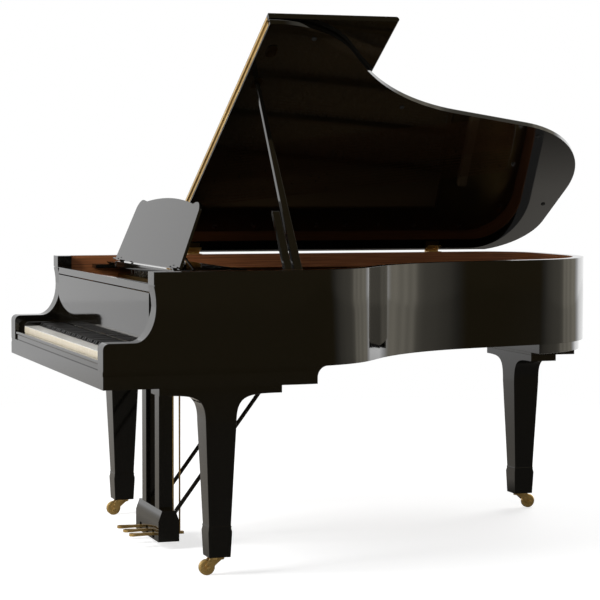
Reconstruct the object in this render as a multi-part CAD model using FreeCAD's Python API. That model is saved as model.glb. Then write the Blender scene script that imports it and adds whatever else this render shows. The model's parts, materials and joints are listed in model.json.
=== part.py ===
import FreeCAD, Part
import math
import os

V = FreeCAD.Vector

# A grand piano about 2.1 m long, lid up on its stick. Millimetres, +Z up from the floor.
# While it is modelled, Y runs from the key slip (0) to the tail, X from the bass spine to the treble side.

# Case outline, seen from above: straight treble side, shoulder, waist, tail, spine corner
CASE_WIDTH = 1480.0
SIDE_STRAIGHT = 630.0
SHOULDER_RADIUS = 390.0
SHOULDER_TURN = 51.0
BEND_STRAIGHT = 95.0
WAIST_RADIUS = 850.0
TAIL_HEADING = 14.0
TAIL_STRAIGHT = 315.0
TAIL_RADIUS = 440.0
SPINE_CORNER_RADIUS = 225.0

# Case levels and walls
KEYBED_BOTTOM = 614.0
KEYBED_SIDE = 42.0
REVEAL_HEIGHT = 14.0
REVEAL_DEPTH = 6.0
KEYBED_LENGTH = 702.0
KEYBED_COVE = 36.0
RIM_HEIGHT = 307.0
RIM_THICK = 40.0
VENEER = 3.0
LEDGE = 45.0
SOUNDBOARD_DROP = 119.0
SOUNDBOARD_THICK = 10.0
SOUNDBOARD_GAP = 1.0
RIM_BOTTOM = KEYBED_BOTTOM + KEYBED_SIDE + REVEAL_HEIGHT
RIM_TOP = RIM_BOTTOM + RIM_HEIGHT
SOUNDBOARD_BOTTOM = RIM_TOP - SOUNDBOARD_DROP
SOUNDBOARD_TOP = SOUNDBOARD_BOTTOM + SOUNDBOARD_THICK
HALF = CASE_WIDTH / 2
INNER_X = HALF - RIM_THICK - VENEER

# Arms at both ends of the keyboard
ARM_THICK = 72.0
ARM_BACK = 215.0
ARM_NOSE = 88.0
ARM_NOSE_RADIUS = 20.0
ARM_FLAT_END = 100.0
ARM_SCROLL_DEPTH = 69.0
ARM_SCROLL_RISE = 113.0
ARM_NECK = 62.0
ARM_LEAN = 7.0
ARM_BEAD = 3.0
ARM_INNER = HALF - ARM_THICK
ARM_FLAT = RIM_BOTTOM + ARM_NOSE

# Frame under the soundboard
BELLY_FRONT = 625.0
BELLY_THICK = 40.0
POST_WIDTH = 70.0
POST_HEIGHT = 100.0
POST_LIFT = 20.0
RIB_WIDTH = 22.0
RIB_HEIGHT = 20.0
RIB_COUNT = 9
RIB_FIRST = 130.0
RIB_STEP = 135.0
LEG_BLOCK = 220.0

# Iron plate, pin block, strings
PLATE_THICK = 14.0
PLATE_LIFT = 25.0
PLATE_GAP = 4.0
PLATE_SKIRT = 24.0
PLATE_FRONT = 400.0
PIN_FIELD_END = 545.0
PLATE_BORDER = 100.0
PLATE_TAIL = 370.0
STRUT_WIDTH = 16.0
STRUT_WEB = 22.0
STRUT_HEIGHT = 28.0
STRUT_SHARES = (-0.46, -0.22, 0.02, 0.28, 0.56)
PIN_BLOCK_HEIGHT = 40.0
PIN_BLOCK_INSET = 15.0
PIN_WIDTH = 6.0
PIN_HEIGHT = 22.0
PIN_ROW_FIRST = 430.0
PIN_ROW_STEP = 24.0
PIN_ROWS = 4
STRING_RADIUS = 0.9
STRING_SIDES = 6
STRING_LIFT = 7.0
BASS_LIFT = 16.0
STRING_INSET = 105.0
STRING_LEAN = 5.0
BASS_LEAN = 7.0
BASS_NOTES = 20
NOTES = 88
BASS_SHARES = (-0.846, -0.51)
TENOR_SHARES = (-0.43, 0.846)
STRUT_GAP = 16.0
TENOR_TAIL = 400.0
BRIDGE_INSET = 195.0
BRIDGE_WIDTH = 32.0
BRIDGE_CLEAR = 4.0
BRIDGE_FRONT = 720.0
BRIDGE_LEFT = -250.0
BASS_BRIDGE_LENGTH = 330.0
BASS_BRIDGE_BACK = 300.0
PLATE_BOTTOM = SOUNDBOARD_TOP + PLATE_LIFT
PLATE_TOP = PLATE_BOTTOM + PLATE_THICK
STRING_Z = PLATE_TOP + STRING_LIFT
BASS_Z = STRING_Z + BASS_LIFT

# Keyboard and action
WHITE_COUNT = 52
CHEEK_WIDTH = 53.0
SHIFT_CLEAR = 4.0
WHITE_PITCH = (CASE_WIDTH - 2 * (ARM_THICK + CHEEK_WIDTH + SHIFT_CLEAR)) / WHITE_COUNT
KEY_GAP = 1.0
KEY_FRONT = 25.0
KEY_BACK = 425.0
KEY_HEIGHT = 25.0
KEY_LIFT = 27.0
KEY_BALANCE = 250.0
BLACK_WIDTH = 10.0
BLACK_FRONT = 75.0
BLACK_BACK = 172.0
BLACK_RISE = 12.0
BLACK_SLOPE = 8.0
BLACK_STICK = 4.0
NOTCH_CLEAR = 1.2
SEAT = 0.3
KEY_BOTTOM = RIM_BOTTOM + KEY_LIFT
KEY_TOP = KEY_BOTTOM + KEY_HEIGHT
FRAME_BASE = 6.0
FRAME_RAIL = 14.0
FRONT_RAIL = (32.0, 70.0)
BALANCE_HALF = 12.0
BALANCE_BEAD = 3.0
BACK_RAIL = (392.0, 460.0)
ACTION_RAIL_Z = 790.0
ACTION_RAIL_SIZE = 20.0
ACTION_RAIL_Y = 440.0
BRACKET_WIDTH = 14.0
BRACKET_COUNT = 5
HAMMER_WIDTH = 8.0
SHANK = 6.0
HAMMER_Y = 562.0
HAMMER_HEAD = 20.0
HAMMER_DROP = 34.0
HAMMER_TIP = 5.0
DAMPER_Y = 600.0
DAMPER_LENGTH = 40.0
DAMPER_HEIGHT = 20.0
DAMPER_WIDTH = 8.0
DAMPER_WIRE = 2.0
DAMPER_OFFSET = 6.0
DAMPER_COUNT = 70
DAMPER_TRAY_Z = 795.0
DAMPER_TRAY = 12.0
KEYS_BELOW_JOINTED_COUNT = 39
JOINTED_NAMES = ("key_c", "key_c_sharp", "key_d", "key_d_sharp", "key_e", "key_f")
SCALE_STEPS = (0, 2, 3, 5, 7, 8, 10)
BLACK_SHIFT_SHARES = {1: 0.13, 4: -0.09, 6: 0.09, 9: -0.13, 11: 0.0}

# Key slip, cheek blocks, fallboard, stretcher
SLIP_FRONT = 2.0
SLIP_THICK = 20.0
SLIP_HEIGHT = 30.0
SLIP_BEAD = 3.0
CHEEK_FRONT = 24.0
CHEEK_BACK = 160.0
CHEEK_HEIGHT = 66.0
CHEEK_ROUND = 12.0
FALL_FRONT = 165.0
FALL_THICK = 18.0
FALL_HEIGHT = 172.0
FALL_OVER_KEYS = 8.0
FALL_PIVOT = 5.0
FALL_PIN = 5.0
FALL_PIN_LENGTH = 18.0
FALL_SIDE = 2.0
RUN_FIT = 0.05
STRETCHER_HEIGHT = 24.0
STRETCHER_THICK = 20.0
STRETCHER_GAP = 3.0

# Music desk on its sliding shelf
SHELF_TOP = 966.0
SHELF_THICK = 20.0
SHELF_FRONT = 320.0
SHELF_BACK = 572.0
SHELF_INSET = 10.0
SHELF_ROUND = 6.0
WING_FRONT = 345.0
WING_THICK = 10.0
WING_SIDE_GAP = 42.0
DESK_RAIL_FRONT = 300.0
DESK_RAIL_WIDTH = 60.0
DESK_RAIL_HEIGHT = 14.0
DESK_Y = 332.0
DESK_HALF = 436.0
DESK_TOP_HALF = 408.0
DESK_HEIGHT = 201.0
DESK_SHOULDER = 28.0
DESK_NOTCH = 7.0
DESK_CROWN = 18.0
DESK_FOOT = 4.0
DESK_THICK = 10.0
DESK_LEAN = 21.5
DESK_UNDER = 3.0
DESK_LEDGE = 9.0
DESK_LEDGE_THICK = 5.0
DESK_PIN = 3.0
DESK_EAR = 14.0
DESK_EAR_RADIUS = 6.5
DESK_EAR_GAP = 1.0
DESK_EAR_INSET = 70.0
STRUT_AT = 45.0
STRUT_INSET = 32.0
STRUT_DESK_WIDTH = 12.0
STRUT_DESK_THICK = 5.0
STRUT_DESK_CLEAR = 1.0
STRUT_ELEVATION = 53.0
STRUT_PIN = 1.5
STRUT_PIN_LENGTH = 6.0
MARGIN_DROP = 2.4
DESK_AXIS_Z = SHELF_TOP + DESK_UNDER + DESK_THICK / 2
SHELF_HALF = DESK_HALF - SHELF_INSET
STRUT_X = DESK_HALF - STRUT_INSET

# Lid, folded front flap and their hinges
LID_OPEN = 31.7
LID_THICK = 20.0
LID_GAP = 4.0
LID_OVERHANG = 10.0
LID_EDGE = 5.0
FLAP_HINGE_Y = 604.0
FLAP_DEPTH = 460.0
FLAP_GAP = 3.0
PIANO_HINGE_RADIUS = 2.8
PIANO_HINGE_PIN = 1.2
PIANO_HINGE_LEAF = 1.0
PIANO_HINGE_KNUCKLES = 7
KNUCKLE_GAP = 0.4
HINGE_RADIUS = 5.5
HINGE_PIN = 2.5
HINGE_LEAF = 1.6
HINGE_OUT = 6.5
HINGE_LENGTH = 55.0
HINGE_WIDTH = 34.0
HINGE_YS = (706.0, 1700.0)
BUMPER_RADIUS = 9.0
BUMPER_HEIGHT = 3.5
BUMPER_SPOTS = ((673.0, 782.0), (278.0, 1226.0), (98.0, 1826.0), (-385.0, 2045.0))
HINGE_X = -HALF - HINGE_OUT
HINGE_Z = RIM_TOP + LID_GAP / 2
LID_BOTTOM = RIM_TOP + LID_GAP
LID_TOP = LID_BOTTOM + LID_THICK

# Lid stick and short stick
PROP_STANDOFF = 21.0
PROP_X = INNER_X - PROP_STANDOFF
PROP_Z = 962.0
PROP_Y = 655.0
PROP_WIDTH = 28.0
PROP_DEPTH = 22.0
PROP_TIP = 8.0
PROP_TIP_WIDTH = 12.0
PROP_PIN = 4.0
SHORT_PROP_LENGTH = 235.0
SHORT_PROP_WIDTH = 24.0
PROP_SIDE_GAP = 2.0
PROP_BRACKET_BASE = 7.0
PROP_LUG = 5.0
PROP_LUG_RADIUS = 9.0
CUP_BACK = 264.0
CUP_SPARE_BACK = 78.0
CUP_LENGTH = 64.0
CUP_WIDTH = 34.0
CUP_THICK = 4.0
CUP_BORE = 10.0
CUP_FLOOR = 1.0
CUP_AT = PROP_X - CUP_BACK
CUP_SPARE = PROP_X - CUP_SPARE_BACK

# Legs and casters
FRONT_LEG_INSET = 110.0
FRONT_LEG_Y = 397.0
REAR_LEG_X = -310.0
REAR_LEG_Y = 1894.0
REAR_LEG_TURN = 90
REAR_LEG_DROP = 62.0
LEG_TOP_WIDTH = 102.0
LEG_CUFF_WIDTH = 73.0
LEG_FOOT_WIDTH = 80.0
LEG_SOLE_WIDTH = 72.0
LEG_SOLE = 60.0
LEG_CUFF_LOW = 142.0
LEG_CUFF_HIGH = 158.0
BRACKET_CAP = 30.0
REAR_BRACKET_CAP = 23.0
BRACKET_REACH = 203.0
REAR_CAPITAL_REACH = 84.0
BRACKET_DROP = 92.0
BRACKET_HOLLOW_SHARE = 0.25
TAIL_BOARD_THICK = 36.0
TAIL_BOARD_INSET = 15.0
TAIL_BOARD_LENGTH = 327.0
TAIL_SLAB_BACK = 128.0
FRONT_LEG_X = HALF - FRONT_LEG_INSET
REAR_LEG_TOP = RIM_BOTTOM - REAR_LEG_DROP
WHEEL_RADIUS = 26.0
WHEEL_WIDTH = 20.0
WHEEL_ROUND = 4.0
WHEEL_AXLE = 4.0
FORK_CHEEK = 5.0
FORK_GAP = 1.0
FORK_BOSS_RADIUS = 24.0
FORK_BOSS = 9.0
FORK_HUB = 10.0
CASTER_TRAIL = 34.0
CASTER_STEM = 8.0
CASTER_STEM_LENGTH = 50.0

# Pedal lyre
LYRE_HALF = 155.0
LYRE_FRONT = 330.0
LYRE_DEPTH = 74.0
LYRE_BOTTOM = 27.0
LYRE_BOX = 70.0
LYRE_CROWN = 37.0
LYRE_CHAMFER = 13.0
LYRE_WALL = 14.0
LYRE_POST = 54.0
LYRE_POST_SPACING = 176.0
LYRE_HEAD = 22.0
LYRE_HEAD_HALF = 235.0
LYRE_AXLE = 4.0
PEDAL_SPACING = 86.0
PEDAL_TOE = 245.0
PEDAL_PIVOT = 360.0
PEDAL_END = 437.0
PEDAL_Z = 42.0
PEDAL_THICK = 9.0
PEDAL_NARROW = 18.0
PEDAL_WIDE = 30.0
PEDAL_BOSS = 9.0
PEDAL_SLOT = 9.0
PEDAL_DOWN = 9.0
ROD_RADIUS = 3.0
ROD_Y = 424.0
ROD_DEPTH = 30.0
ROD_ROOM = 12.0
GUIDE_LOW = 36.0
GUIDE_HEIGHT = 24.0
GUIDE_REACH = 58.0
BRACE_RADIUS = 7.0
BRACE_SPACING = 216.0
BRACE_BEHIND = 89.0
BRACE_DROP = 30.0
BRACE_BLOCK = 80.0
LYRE_BACK = LYRE_FRONT + LYRE_DEPTH
LYRE_TOP = LYRE_BOTTOM + LYRE_BOX + LYRE_CROWN
LYRE_POST_FRONT = LYRE_FRONT + LYRE_CHAMFER
LYRE_POST_REAR = LYRE_BACK - LYRE_CHAMFER
BRACE_BACK = KEYBED_LENGTH + BRACE_BEHIND
BRACE_TOP = RIM_BOTTOM - BRACE_DROP

CUT = 5.0


def box(x0, x1, y0, y1, z0, z1):
    """A block between two corners."""
    return Part.makeBox(x1 - x0, y1 - y0, z1 - z0, V(x0, y0, z0))


def rod(start, end, radius):
    """A round bar between two points."""
    return Part.makeCylinder(radius, (end - start).Length, start, end - start)


def prism(wire, z0, z1):
    """A flat outline drawn at z = 0, raised from z0 to z1."""
    face = Part.Face(wire)
    face.translate(V(0, 0, z0))
    return face.extrude(V(0, 0, z1 - z0))


def polygon(points):
    return Part.makePolygon(list(points) + [points[0]])


def side_profile(points, x0, x1):
    """A closed outline of (y, z) corners, drawn at x0 and extruded to x1."""
    wire = polygon([V(x0, y, z) for y, z in points])
    return Part.Face(wire).extrude(V(x1 - x0, 0, 0))


def plan(points, z0, z1):
    """A closed outline of (x, y) corners, raised from z0 to z1."""
    return prism(polygon([V(x, y, 0) for x, y in points]), z0, z1)


def fused(solids):
    """One clean solid from touching pieces."""
    first = solids[0]
    return first.fuse(solids[1:]).removeSplitter() if len(solids) > 1 else first


def group(solids):
    return Part.makeCompound(solids)


def mirrored(shape):
    """The same piece on the other side of the keyboard's middle."""
    return shape.mirror(V(0, 0, 0), V(1, 0, 0))


def heading(angle):
    """Unit vector of a course that starts along +Y and turns towards -X."""
    a = math.radians(angle)
    return V(-math.sin(a), math.cos(a), 0)


def inward(angle):
    """Unit vector to the left of a course, towards the inside of the case."""
    a = math.radians(angle)
    return V(-math.cos(a), -math.sin(a), 0)


def run(edges, start, end):
    edges.append(Part.LineSegment(start, end).toShape())
    return end


def turn(edges, start, angle, new_angle, radius):
    """An arc that is tangent to both courses; returns where it ends."""
    side = 1 if new_angle > angle else -1
    centre = start + inward(angle) * (radius * side)
    middle = centre - inward((angle + new_angle) / 2) * (radius * side)
    end = centre - inward(new_angle) * (radius * side)
    edges.append(Part.Arc(start, middle, end).toShape())
    return end


def case_wire(inset, front):
    """The case outline drawn inset from the outer face, closed by a straight front."""
    half = HALF - inset
    edges = []
    p = run(edges, V(half, front, 0), V(half, SIDE_STRAIGHT, 0))
    p = turn(edges, p, 0, SHOULDER_TURN, SHOULDER_RADIUS - inset)
    p = run(edges, p, p + heading(SHOULDER_TURN) * BEND_STRAIGHT)
    p = turn(edges, p, SHOULDER_TURN, TAIL_HEADING, WAIST_RADIUS + inset)
    p = run(edges, p, p + heading(TAIL_HEADING) * TAIL_STRAIGHT)
    p = turn(edges, p, TAIL_HEADING, 90, TAIL_RADIUS - inset)
    corner = min(SPINE_CORNER_RADIUS, p.x + HALF - LID_EDGE) - inset
    p = run(edges, p, V(corner - half, p.y, 0))
    p = turn(edges, p, 90, 180, corner)
    p = run(edges, p, V(-half, front, 0))
    run(edges, p, V(half, front, 0))
    return Part.Wire(edges)


def case_band(outer, inner, front, z0, z1):
    """A wall that follows the case outline between two insets, open at the front."""
    wall = prism(case_wire(outer, front), z0, z1)
    return wall.cut(prism(case_wire(inner, front - CUT), z0 - CUT, z1 + CUT))


TAIL_Y = case_wire(0, 0).BoundBox.YMax


# Case

def arm():
    """The treble arm: upright nose, flat top and an S-shaped scroll up to the rim."""
    nose_end = ARM_NOSE_RADIUS
    scroll_y = ARM_FLAT_END + ARM_SCROLL_DEPTH
    scroll_z = ARM_FLAT + ARM_SCROLL_RISE
    neck_y = scroll_y - ARM_LEAN
    neck_z = scroll_z + ARM_NECK
    nose_share = 1 - math.sqrt(0.5)
    kappa_share = 0.5523

    def at(y, z):
        return V(ARM_INNER, y, z)

    scroll = Part.BezierCurve()
    scroll.setPoles([at(ARM_FLAT_END, ARM_FLAT),
                     at(ARM_FLAT_END + kappa_share * ARM_SCROLL_DEPTH, ARM_FLAT),
                     at(scroll_y, scroll_z - kappa_share * ARM_SCROLL_RISE),
                     at(scroll_y, scroll_z)])
    neck = Part.BezierCurve()
    neck.setPoles([at(scroll_y, scroll_z), at(scroll_y, scroll_z + ARM_NECK / 2), at(neck_y, neck_z)])
    nose = Part.Arc(at(0, ARM_FLAT - nose_end),
                    at(nose_end * nose_share, ARM_FLAT - nose_end * nose_share),
                    at(nose_end, ARM_FLAT))
    edges = [nose.toShape()]
    run(edges, at(nose_end, ARM_FLAT), at(ARM_FLAT_END, ARM_FLAT))
    edges += [scroll.toShape(), neck.toShape()]
    p = run(edges, at(neck_y, neck_z), at(neck_y + ARM_BEAD, neck_z))
    for y, z in ((neck_y + ARM_BEAD, neck_z + ARM_BEAD), (neck_y, neck_z + ARM_BEAD), (neck_y, RIM_TOP),
                 (ARM_BACK, RIM_TOP), (ARM_BACK, RIM_BOTTOM), (0, RIM_BOTTOM), (0, ARM_FLAT - nose_end)):
        p = run(edges, p, at(y, z))
    return Part.Face(Part.Wire(edges)).extrude(V(ARM_THICK, 0, 0))


def fall_axis():
    """The fallboard's pivot, placed so that the board shuts flat just above the black keys."""
    shut_bottom = KEY_TOP + BLACK_RISE + FALL_OVER_KEYS
    return V(0, FALL_FRONT + FALL_PIVOT, shut_bottom + FALL_PIVOT)


def rim():
    wall = case_band(0, RIM_THICK, ARM_BACK, RIM_BOTTOM, RIM_TOP)
    right = arm()
    body = fused([wall, right, mirrored(right)])
    pivot = fall_axis()
    reach = V(ARM_INNER + FALL_PIN_LENGTH, pivot.y, pivot.z)
    return body.cut(rod(V(-reach.x, reach.y, reach.z), reach, FALL_PIN + RUN_FIT))


def inner_rim():
    """Laminated ledge that carries the soundboard, with the thin veneer above it."""
    body = prism(case_wire(RIM_THICK, ARM_BACK), RIM_BOTTOM, RIM_TOP)
    front = ARM_BACK - CUT
    body = body.cut(prism(case_wire(RIM_THICK + VENEER, front), SOUNDBOARD_BOTTOM, RIM_TOP + CUT))
    body = body.cut(prism(case_wire(RIM_THICK + LEDGE, front), RIM_BOTTOM - CUT, SOUNDBOARD_BOTTOM + CUT))
    return body.cut(box(-HALF, HALF, 0, BELLY_FRONT + BELLY_THICK, RIM_BOTTOM - CUT, SOUNDBOARD_BOTTOM))


def keybed():
    """The thick bottom board, with a shadow line under the rim and a coved rear end."""
    ledge_z = KEYBED_BOTTOM + KEYBED_SIDE
    cove_end = KEYBED_LENGTH + KEYBED_COVE

    def slab(half):
        cove_low = RIM_BOTTOM - KEYBED_COVE
        share = 1 - math.sqrt(0.5)
        cove = Part.Arc(V(-half, KEYBED_LENGTH, cove_low),
                        V(-half, KEYBED_LENGTH + KEYBED_COVE * share, RIM_BOTTOM - KEYBED_COVE * share),
                        V(-half, cove_end, RIM_BOTTOM))
        edges = [cove.toShape()]
        p = V(-half, cove_end, RIM_BOTTOM)
        for y, z in ((0, RIM_BOTTOM), (0, KEYBED_BOTTOM), (KEYBED_LENGTH, KEYBED_BOTTOM),
                     (KEYBED_LENGTH, cove_low)):
            p = run(edges, p, V(-half, y, z))
        return Part.Face(Part.Wire(edges)).extrude(V(2 * half, 0, 0))

    lower = slab(HALF).common(box(-HALF, HALF, 0, cove_end, KEYBED_BOTTOM, ledge_z))
    upper = slab(HALF - REVEAL_DEPTH).common(box(-HALF, HALF, 0, cove_end, ledge_z, RIM_BOTTOM))
    board = fused([lower, upper])
    board = board.common(prism(case_wire(0, 0), KEYBED_BOTTOM, RIM_BOTTOM))
    for x in pedal_xs():
        foot = V(x, ROD_Y, KEYBED_BOTTOM - CUT)
        board = board.cut(rod(foot, foot + V(0, 0, CUT + ROD_DEPTH + ROD_ROOM), ROD_RADIUS + RUN_FIT))
    return board


def beam(start, end, width, z0, z1):
    """A straight timber between two plan points."""
    along = (end - start).normalize()
    across = V(-along.y, along.x, 0) * (width / 2)
    return prism(polygon([start + across, end + across, end - across, start - across]), z0, z1)


def frame_beams():
    """Belly rail, the timbers that brace the rim, and the blocks over the rear leg and the lyre's braces."""
    half = HALF - RIM_THICK
    belly_back = BELLY_FRONT + BELLY_THICK
    rail = box(-half, half, BELLY_FRONT, belly_back, RIM_BOTTOM, SOUNDBOARD_BOTTOM)
    rail = rail.common(prism(case_wire(RIM_THICK, 0), RIM_BOTTOM, SOUNDBOARD_BOTTOM))
    inside = prism(case_wire(RIM_THICK + LEDGE, belly_back), RIM_BOTTOM, SOUNDBOARD_BOTTOM)
    post_low = RIM_BOTTOM + POST_LIFT
    post_shares = ((-0.72, -0.72), (-0.45, -0.45), (-0.1, -0.16), (0.22, 0.02), (0.62, 0.62))
    posts = []
    for front_share, back_share in post_shares:
        start = V(front_share * HALF, belly_back, 0)
        end = V(back_share * HALF, TAIL_Y, 0)
        posts.append(beam(start, end, POST_WIDTH, post_low, post_low + POST_HEIGHT).common(inside).Solids[0])
    block_half = LEG_BLOCK / 2
    block = box(REAR_LEG_X - block_half, REAR_LEG_X + block_half, REAR_LEG_Y - block_half,
                REAR_LEG_Y + block_half, RIM_BOTTOM, post_low).common(inside)
    block_back = BRACE_BACK + BRACE_BLOCK / 2
    brace_block = fused([box(-LYRE_HALF, LYRE_HALF, belly_back, block_back, RIM_BOTTOM, post_low),
                         box(-LYRE_HALF, LYRE_HALF, BRACE_BACK - BRACE_BLOCK / 2, block_back, BRACE_TOP,
                             RIM_BOTTOM)])
    return group([rail] + posts + [block, brace_block])


def soundboard():
    """Spruce panel on the ledge, with its ribs glued underneath."""
    inset = RIM_THICK + VENEER + SOUNDBOARD_GAP
    board = prism(case_wire(inset, BELLY_FRONT), SOUNDBOARD_BOTTOM, SOUNDBOARD_TOP)
    belly_back = BELLY_FRONT + BELLY_THICK
    inside = prism(case_wire(RIM_THICK + LEDGE + SOUNDBOARD_GAP, belly_back + SOUNDBOARD_GAP),
                   SOUNDBOARD_BOTTOM - RIB_HEIGHT, SOUNDBOARD_BOTTOM)
    ribs = []
    for i in range(RIB_COUNT):
        y = BELLY_FRONT + RIB_FIRST + i * RIB_STEP
        bar = box(-HALF, HALF, y, y + RIB_WIDTH, SOUNDBOARD_BOTTOM - RIB_HEIGHT, SOUNDBOARD_BOTTOM)
        ribs.append(bar.common(inside))
    return fused([board] + ribs)


def long_bridge(clearance, top):
    """The treble bridge: a band parallel to the bent side, widened by a clearance."""
    band = case_band(BRIDGE_INSET - clearance, BRIDGE_INSET + BRIDGE_WIDTH + clearance,
                     BRIDGE_FRONT - clearance, SOUNDBOARD_TOP, top)
    reach = box(BRIDGE_LEFT - clearance, HALF, BRIDGE_FRONT - clearance, TAIL_Y - PLATE_TAIL + clearance,
                SOUNDBOARD_TOP, top)
    return band.common(reach)


def bass_bridge(clearance, top):
    middle = (BASS_SHARES[0] + BASS_SHARES[1]) / 2 * INNER_X
    y = TAIL_Y - BASS_BRIDGE_BACK
    middle += (y - PIN_FIELD_END) * math.tan(math.radians(BASS_LEAN))
    half = BASS_BRIDGE_LENGTH / 2 + clearance
    return box(middle - half, middle + half, y - clearance, y + BRIDGE_WIDTH + clearance, SOUNDBOARD_TOP, top)


def bridges():
    under = STRING_RADIUS + SEAT
    return group([long_bridge(0, STRING_Z - under), bass_bridge(0, BASS_Z - under)])


def strut_lines():
    """Where the plate's struts leave the pin field."""
    return [share * INNER_X for share in STRUT_SHARES]


def lean_x(x, y, angle):
    """X of a line that starts at the end of the pin field and leans by an angle towards -X."""
    return x - (y - PIN_FIELD_END) * math.tan(math.radians(angle))


def strut_strip(x, width, y0, y1, z0, z1):
    """A straight strut along the run of the strings."""
    half = width / 2
    low = lean_x(x, y0, STRING_LEAN)
    high = lean_x(x, y1, STRING_LEAN)
    return plan([(low - half, y0), (low + half, y0), (high + half, y1), (high - half, y1)], z0, z1)


def plate():
    """Cast plate: border on a skirt, solid pin field and tail, windows between the struts."""
    inset = RIM_THICK + VENEER + PLATE_GAP
    web = prism(case_wire(inset, PLATE_FRONT), PLATE_BOTTOM, PLATE_TOP)
    inside = prism(case_wire(inset + PLATE_BORDER, PIN_FIELD_END + CUT), PLATE_BOTTOM - CUT, PLATE_TOP + CUT)
    window_end = TAIL_Y - PLATE_TAIL
    edge = INNER_X - PLATE_BORDER / 2
    lines = [-edge] + strut_lines() + [edge]
    half = STRUT_WEB / 2
    for left, right in zip(lines[:-1], lines[1:]):
        corners = [(lean_x(left, PIN_FIELD_END, STRING_LEAN) + half, PIN_FIELD_END + CUT),
                   (lean_x(right, PIN_FIELD_END, STRING_LEAN) - half, PIN_FIELD_END + CUT),
                   (lean_x(right, window_end, STRING_LEAN) - half, window_end),
                   (lean_x(left, window_end, STRING_LEAN) + half, window_end)]
        web = web.cut(plan(corners, PLATE_BOTTOM - CUT, PLATE_TOP + CUT).common(inside))
    skirt = case_band(inset, inset + PLATE_SKIRT, BELLY_FRONT, SOUNDBOARD_TOP, PLATE_BOTTOM)
    inside_tall = prism(case_wire(inset + PLATE_SKIRT, PLATE_FRONT), PLATE_TOP, PLATE_TOP + STRUT_HEIGHT)
    ribs = []
    for x in [line for line in strut_lines() if line > 0]:
        rib = strut_strip(x, STRUT_WIDTH, PIN_FIELD_END, window_end, PLATE_TOP, PLATE_TOP + STRUT_HEIGHT)
        ribs.append(rib.common(inside_tall))
    body = fused([web, skirt] + ribs)
    notch = STRING_Z + BRIDGE_CLEAR
    return body.cut(long_bridge(BRIDGE_CLEAR, notch)).cut(bass_bridge(BRIDGE_CLEAR, notch))


def pin_block():
    half = INNER_X
    return box(-half, half, PLATE_FRONT + PIN_BLOCK_INSET, PIN_FIELD_END - PIN_BLOCK_INSET,
               PLATE_BOTTOM - PIN_BLOCK_HEIGHT, PLATE_BOTTOM)


def note_starts():
    """X where each string passes the end of the pin field, bass first, with room beside the struts."""
    bass = [(BASS_SHARES[0] + (BASS_SHARES[1] - BASS_SHARES[0]) * i / (BASS_NOTES - 1)) * INNER_X
            for i in range(BASS_NOTES)]
    rest = NOTES - BASS_NOTES
    low, high = (share * INNER_X for share in TENOR_SHARES)
    splits = [line for line in strut_lines() if line > low]
    pitch = (high - low - 2 * STRUT_GAP * len(splits)) / (rest - 1 - len(splits))
    starts = []
    x = low
    for i in range(rest):
        starts.append(x)
        step = pitch
        for line in splits:
            if x < line and x + pitch > line - STRUT_GAP:
                step = line + STRUT_GAP - x
        x += step
    return bass + starts


def string_lean(note):
    return -BASS_LEAN if note < BASS_NOTES else STRING_LEAN


def string_z(note):
    return BASS_Z if note < BASS_NOTES else STRING_Z


def pin_y(note):
    return PIN_ROW_FIRST + (note % PIN_ROWS) * PIN_ROW_STEP


def tuning_pins():
    """One pin for each string in staggered rows on the plate, each with a square head."""
    half = PIN_WIDTH / 2
    pins = []
    for note, x in enumerate(note_starts()):
        y = pin_y(note)
        px = lean_x(x, y, string_lean(note))
        top = PLATE_TOP + PIN_HEIGHT + string_z(note) - STRING_Z
        pins.append(box(px - half, px + half, y - half, y + half, PLATE_TOP, top))
    return group(pins)


def strings():
    """One six-sided wire a note, from its pin to the border of the plate."""
    field = Part.Face(case_wire(STRING_INSET, PLATE_FRONT))
    wires = []
    for note, x in enumerate(note_starts()):
        lean = string_lean(note)
        y = pin_y(note) + PIN_WIDTH / 2 + SEAT
        start = V(lean_x(x, y, lean), y, 0)
        far = TAIL_Y if note < BASS_NOTES else TAIL_Y - TENOR_TAIL
        line = Part.LineSegment(start, V(lean_x(x, far, lean), far, 0)).toShape().common(field)
        end = max((v.Point for v in line.Edges[0].Vertexes), key=lambda point: point.y)
        corners = []
        for k in range(STRING_SIDES + 1):
            a = 2 * math.pi * k / STRING_SIDES
            corners.append(V(start.x + STRING_RADIUS * math.cos(a), y,
                             string_z(note) + STRING_RADIUS * math.sin(a)))
        wires.append(Part.Face(Part.makePolygon(corners)).extrude(end - start))
    return group(wires)


# Keyboard and action

def is_black(note):
    return (note % 12) not in SCALE_STEPS


def white_index(note):
    return 7 * (note // 12) + sum(1 for step in SCALE_STEPS if step < note % 12)


def black_centre(note):
    left = -WHITE_COUNT * WHITE_PITCH / 2
    return left + (white_index(note) + BLACK_SHIFT_SHARES[note % 12]) * WHITE_PITCH


def white_key(note):
    """A natural of two glued parts: a full-width head, and a tail that is cut back beside the sharps."""
    left = -WHITE_COUNT * WHITE_PITCH / 2 + white_index(note) * WHITE_PITCH + KEY_GAP / 2
    right = left + WHITE_PITCH - KEY_GAP
    cut = BLACK_WIDTH / 2 + NOTCH_CLEAR
    notch = BLACK_FRONT - NOTCH_CLEAR
    inner_left, inner_right = left, right
    if note > 0 and is_black(note - 1):
        inner_left = black_centre(note - 1) + cut
    if note < NOTES - 1 and is_black(note + 1):
        inner_right = black_centre(note + 1) - cut
    head = box(left, right, KEY_FRONT, notch, KEY_BOTTOM, KEY_TOP)
    tail = box(inner_left, inner_right, notch, KEY_BACK, KEY_BOTTOM, KEY_TOP)
    return group([head, tail])


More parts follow.
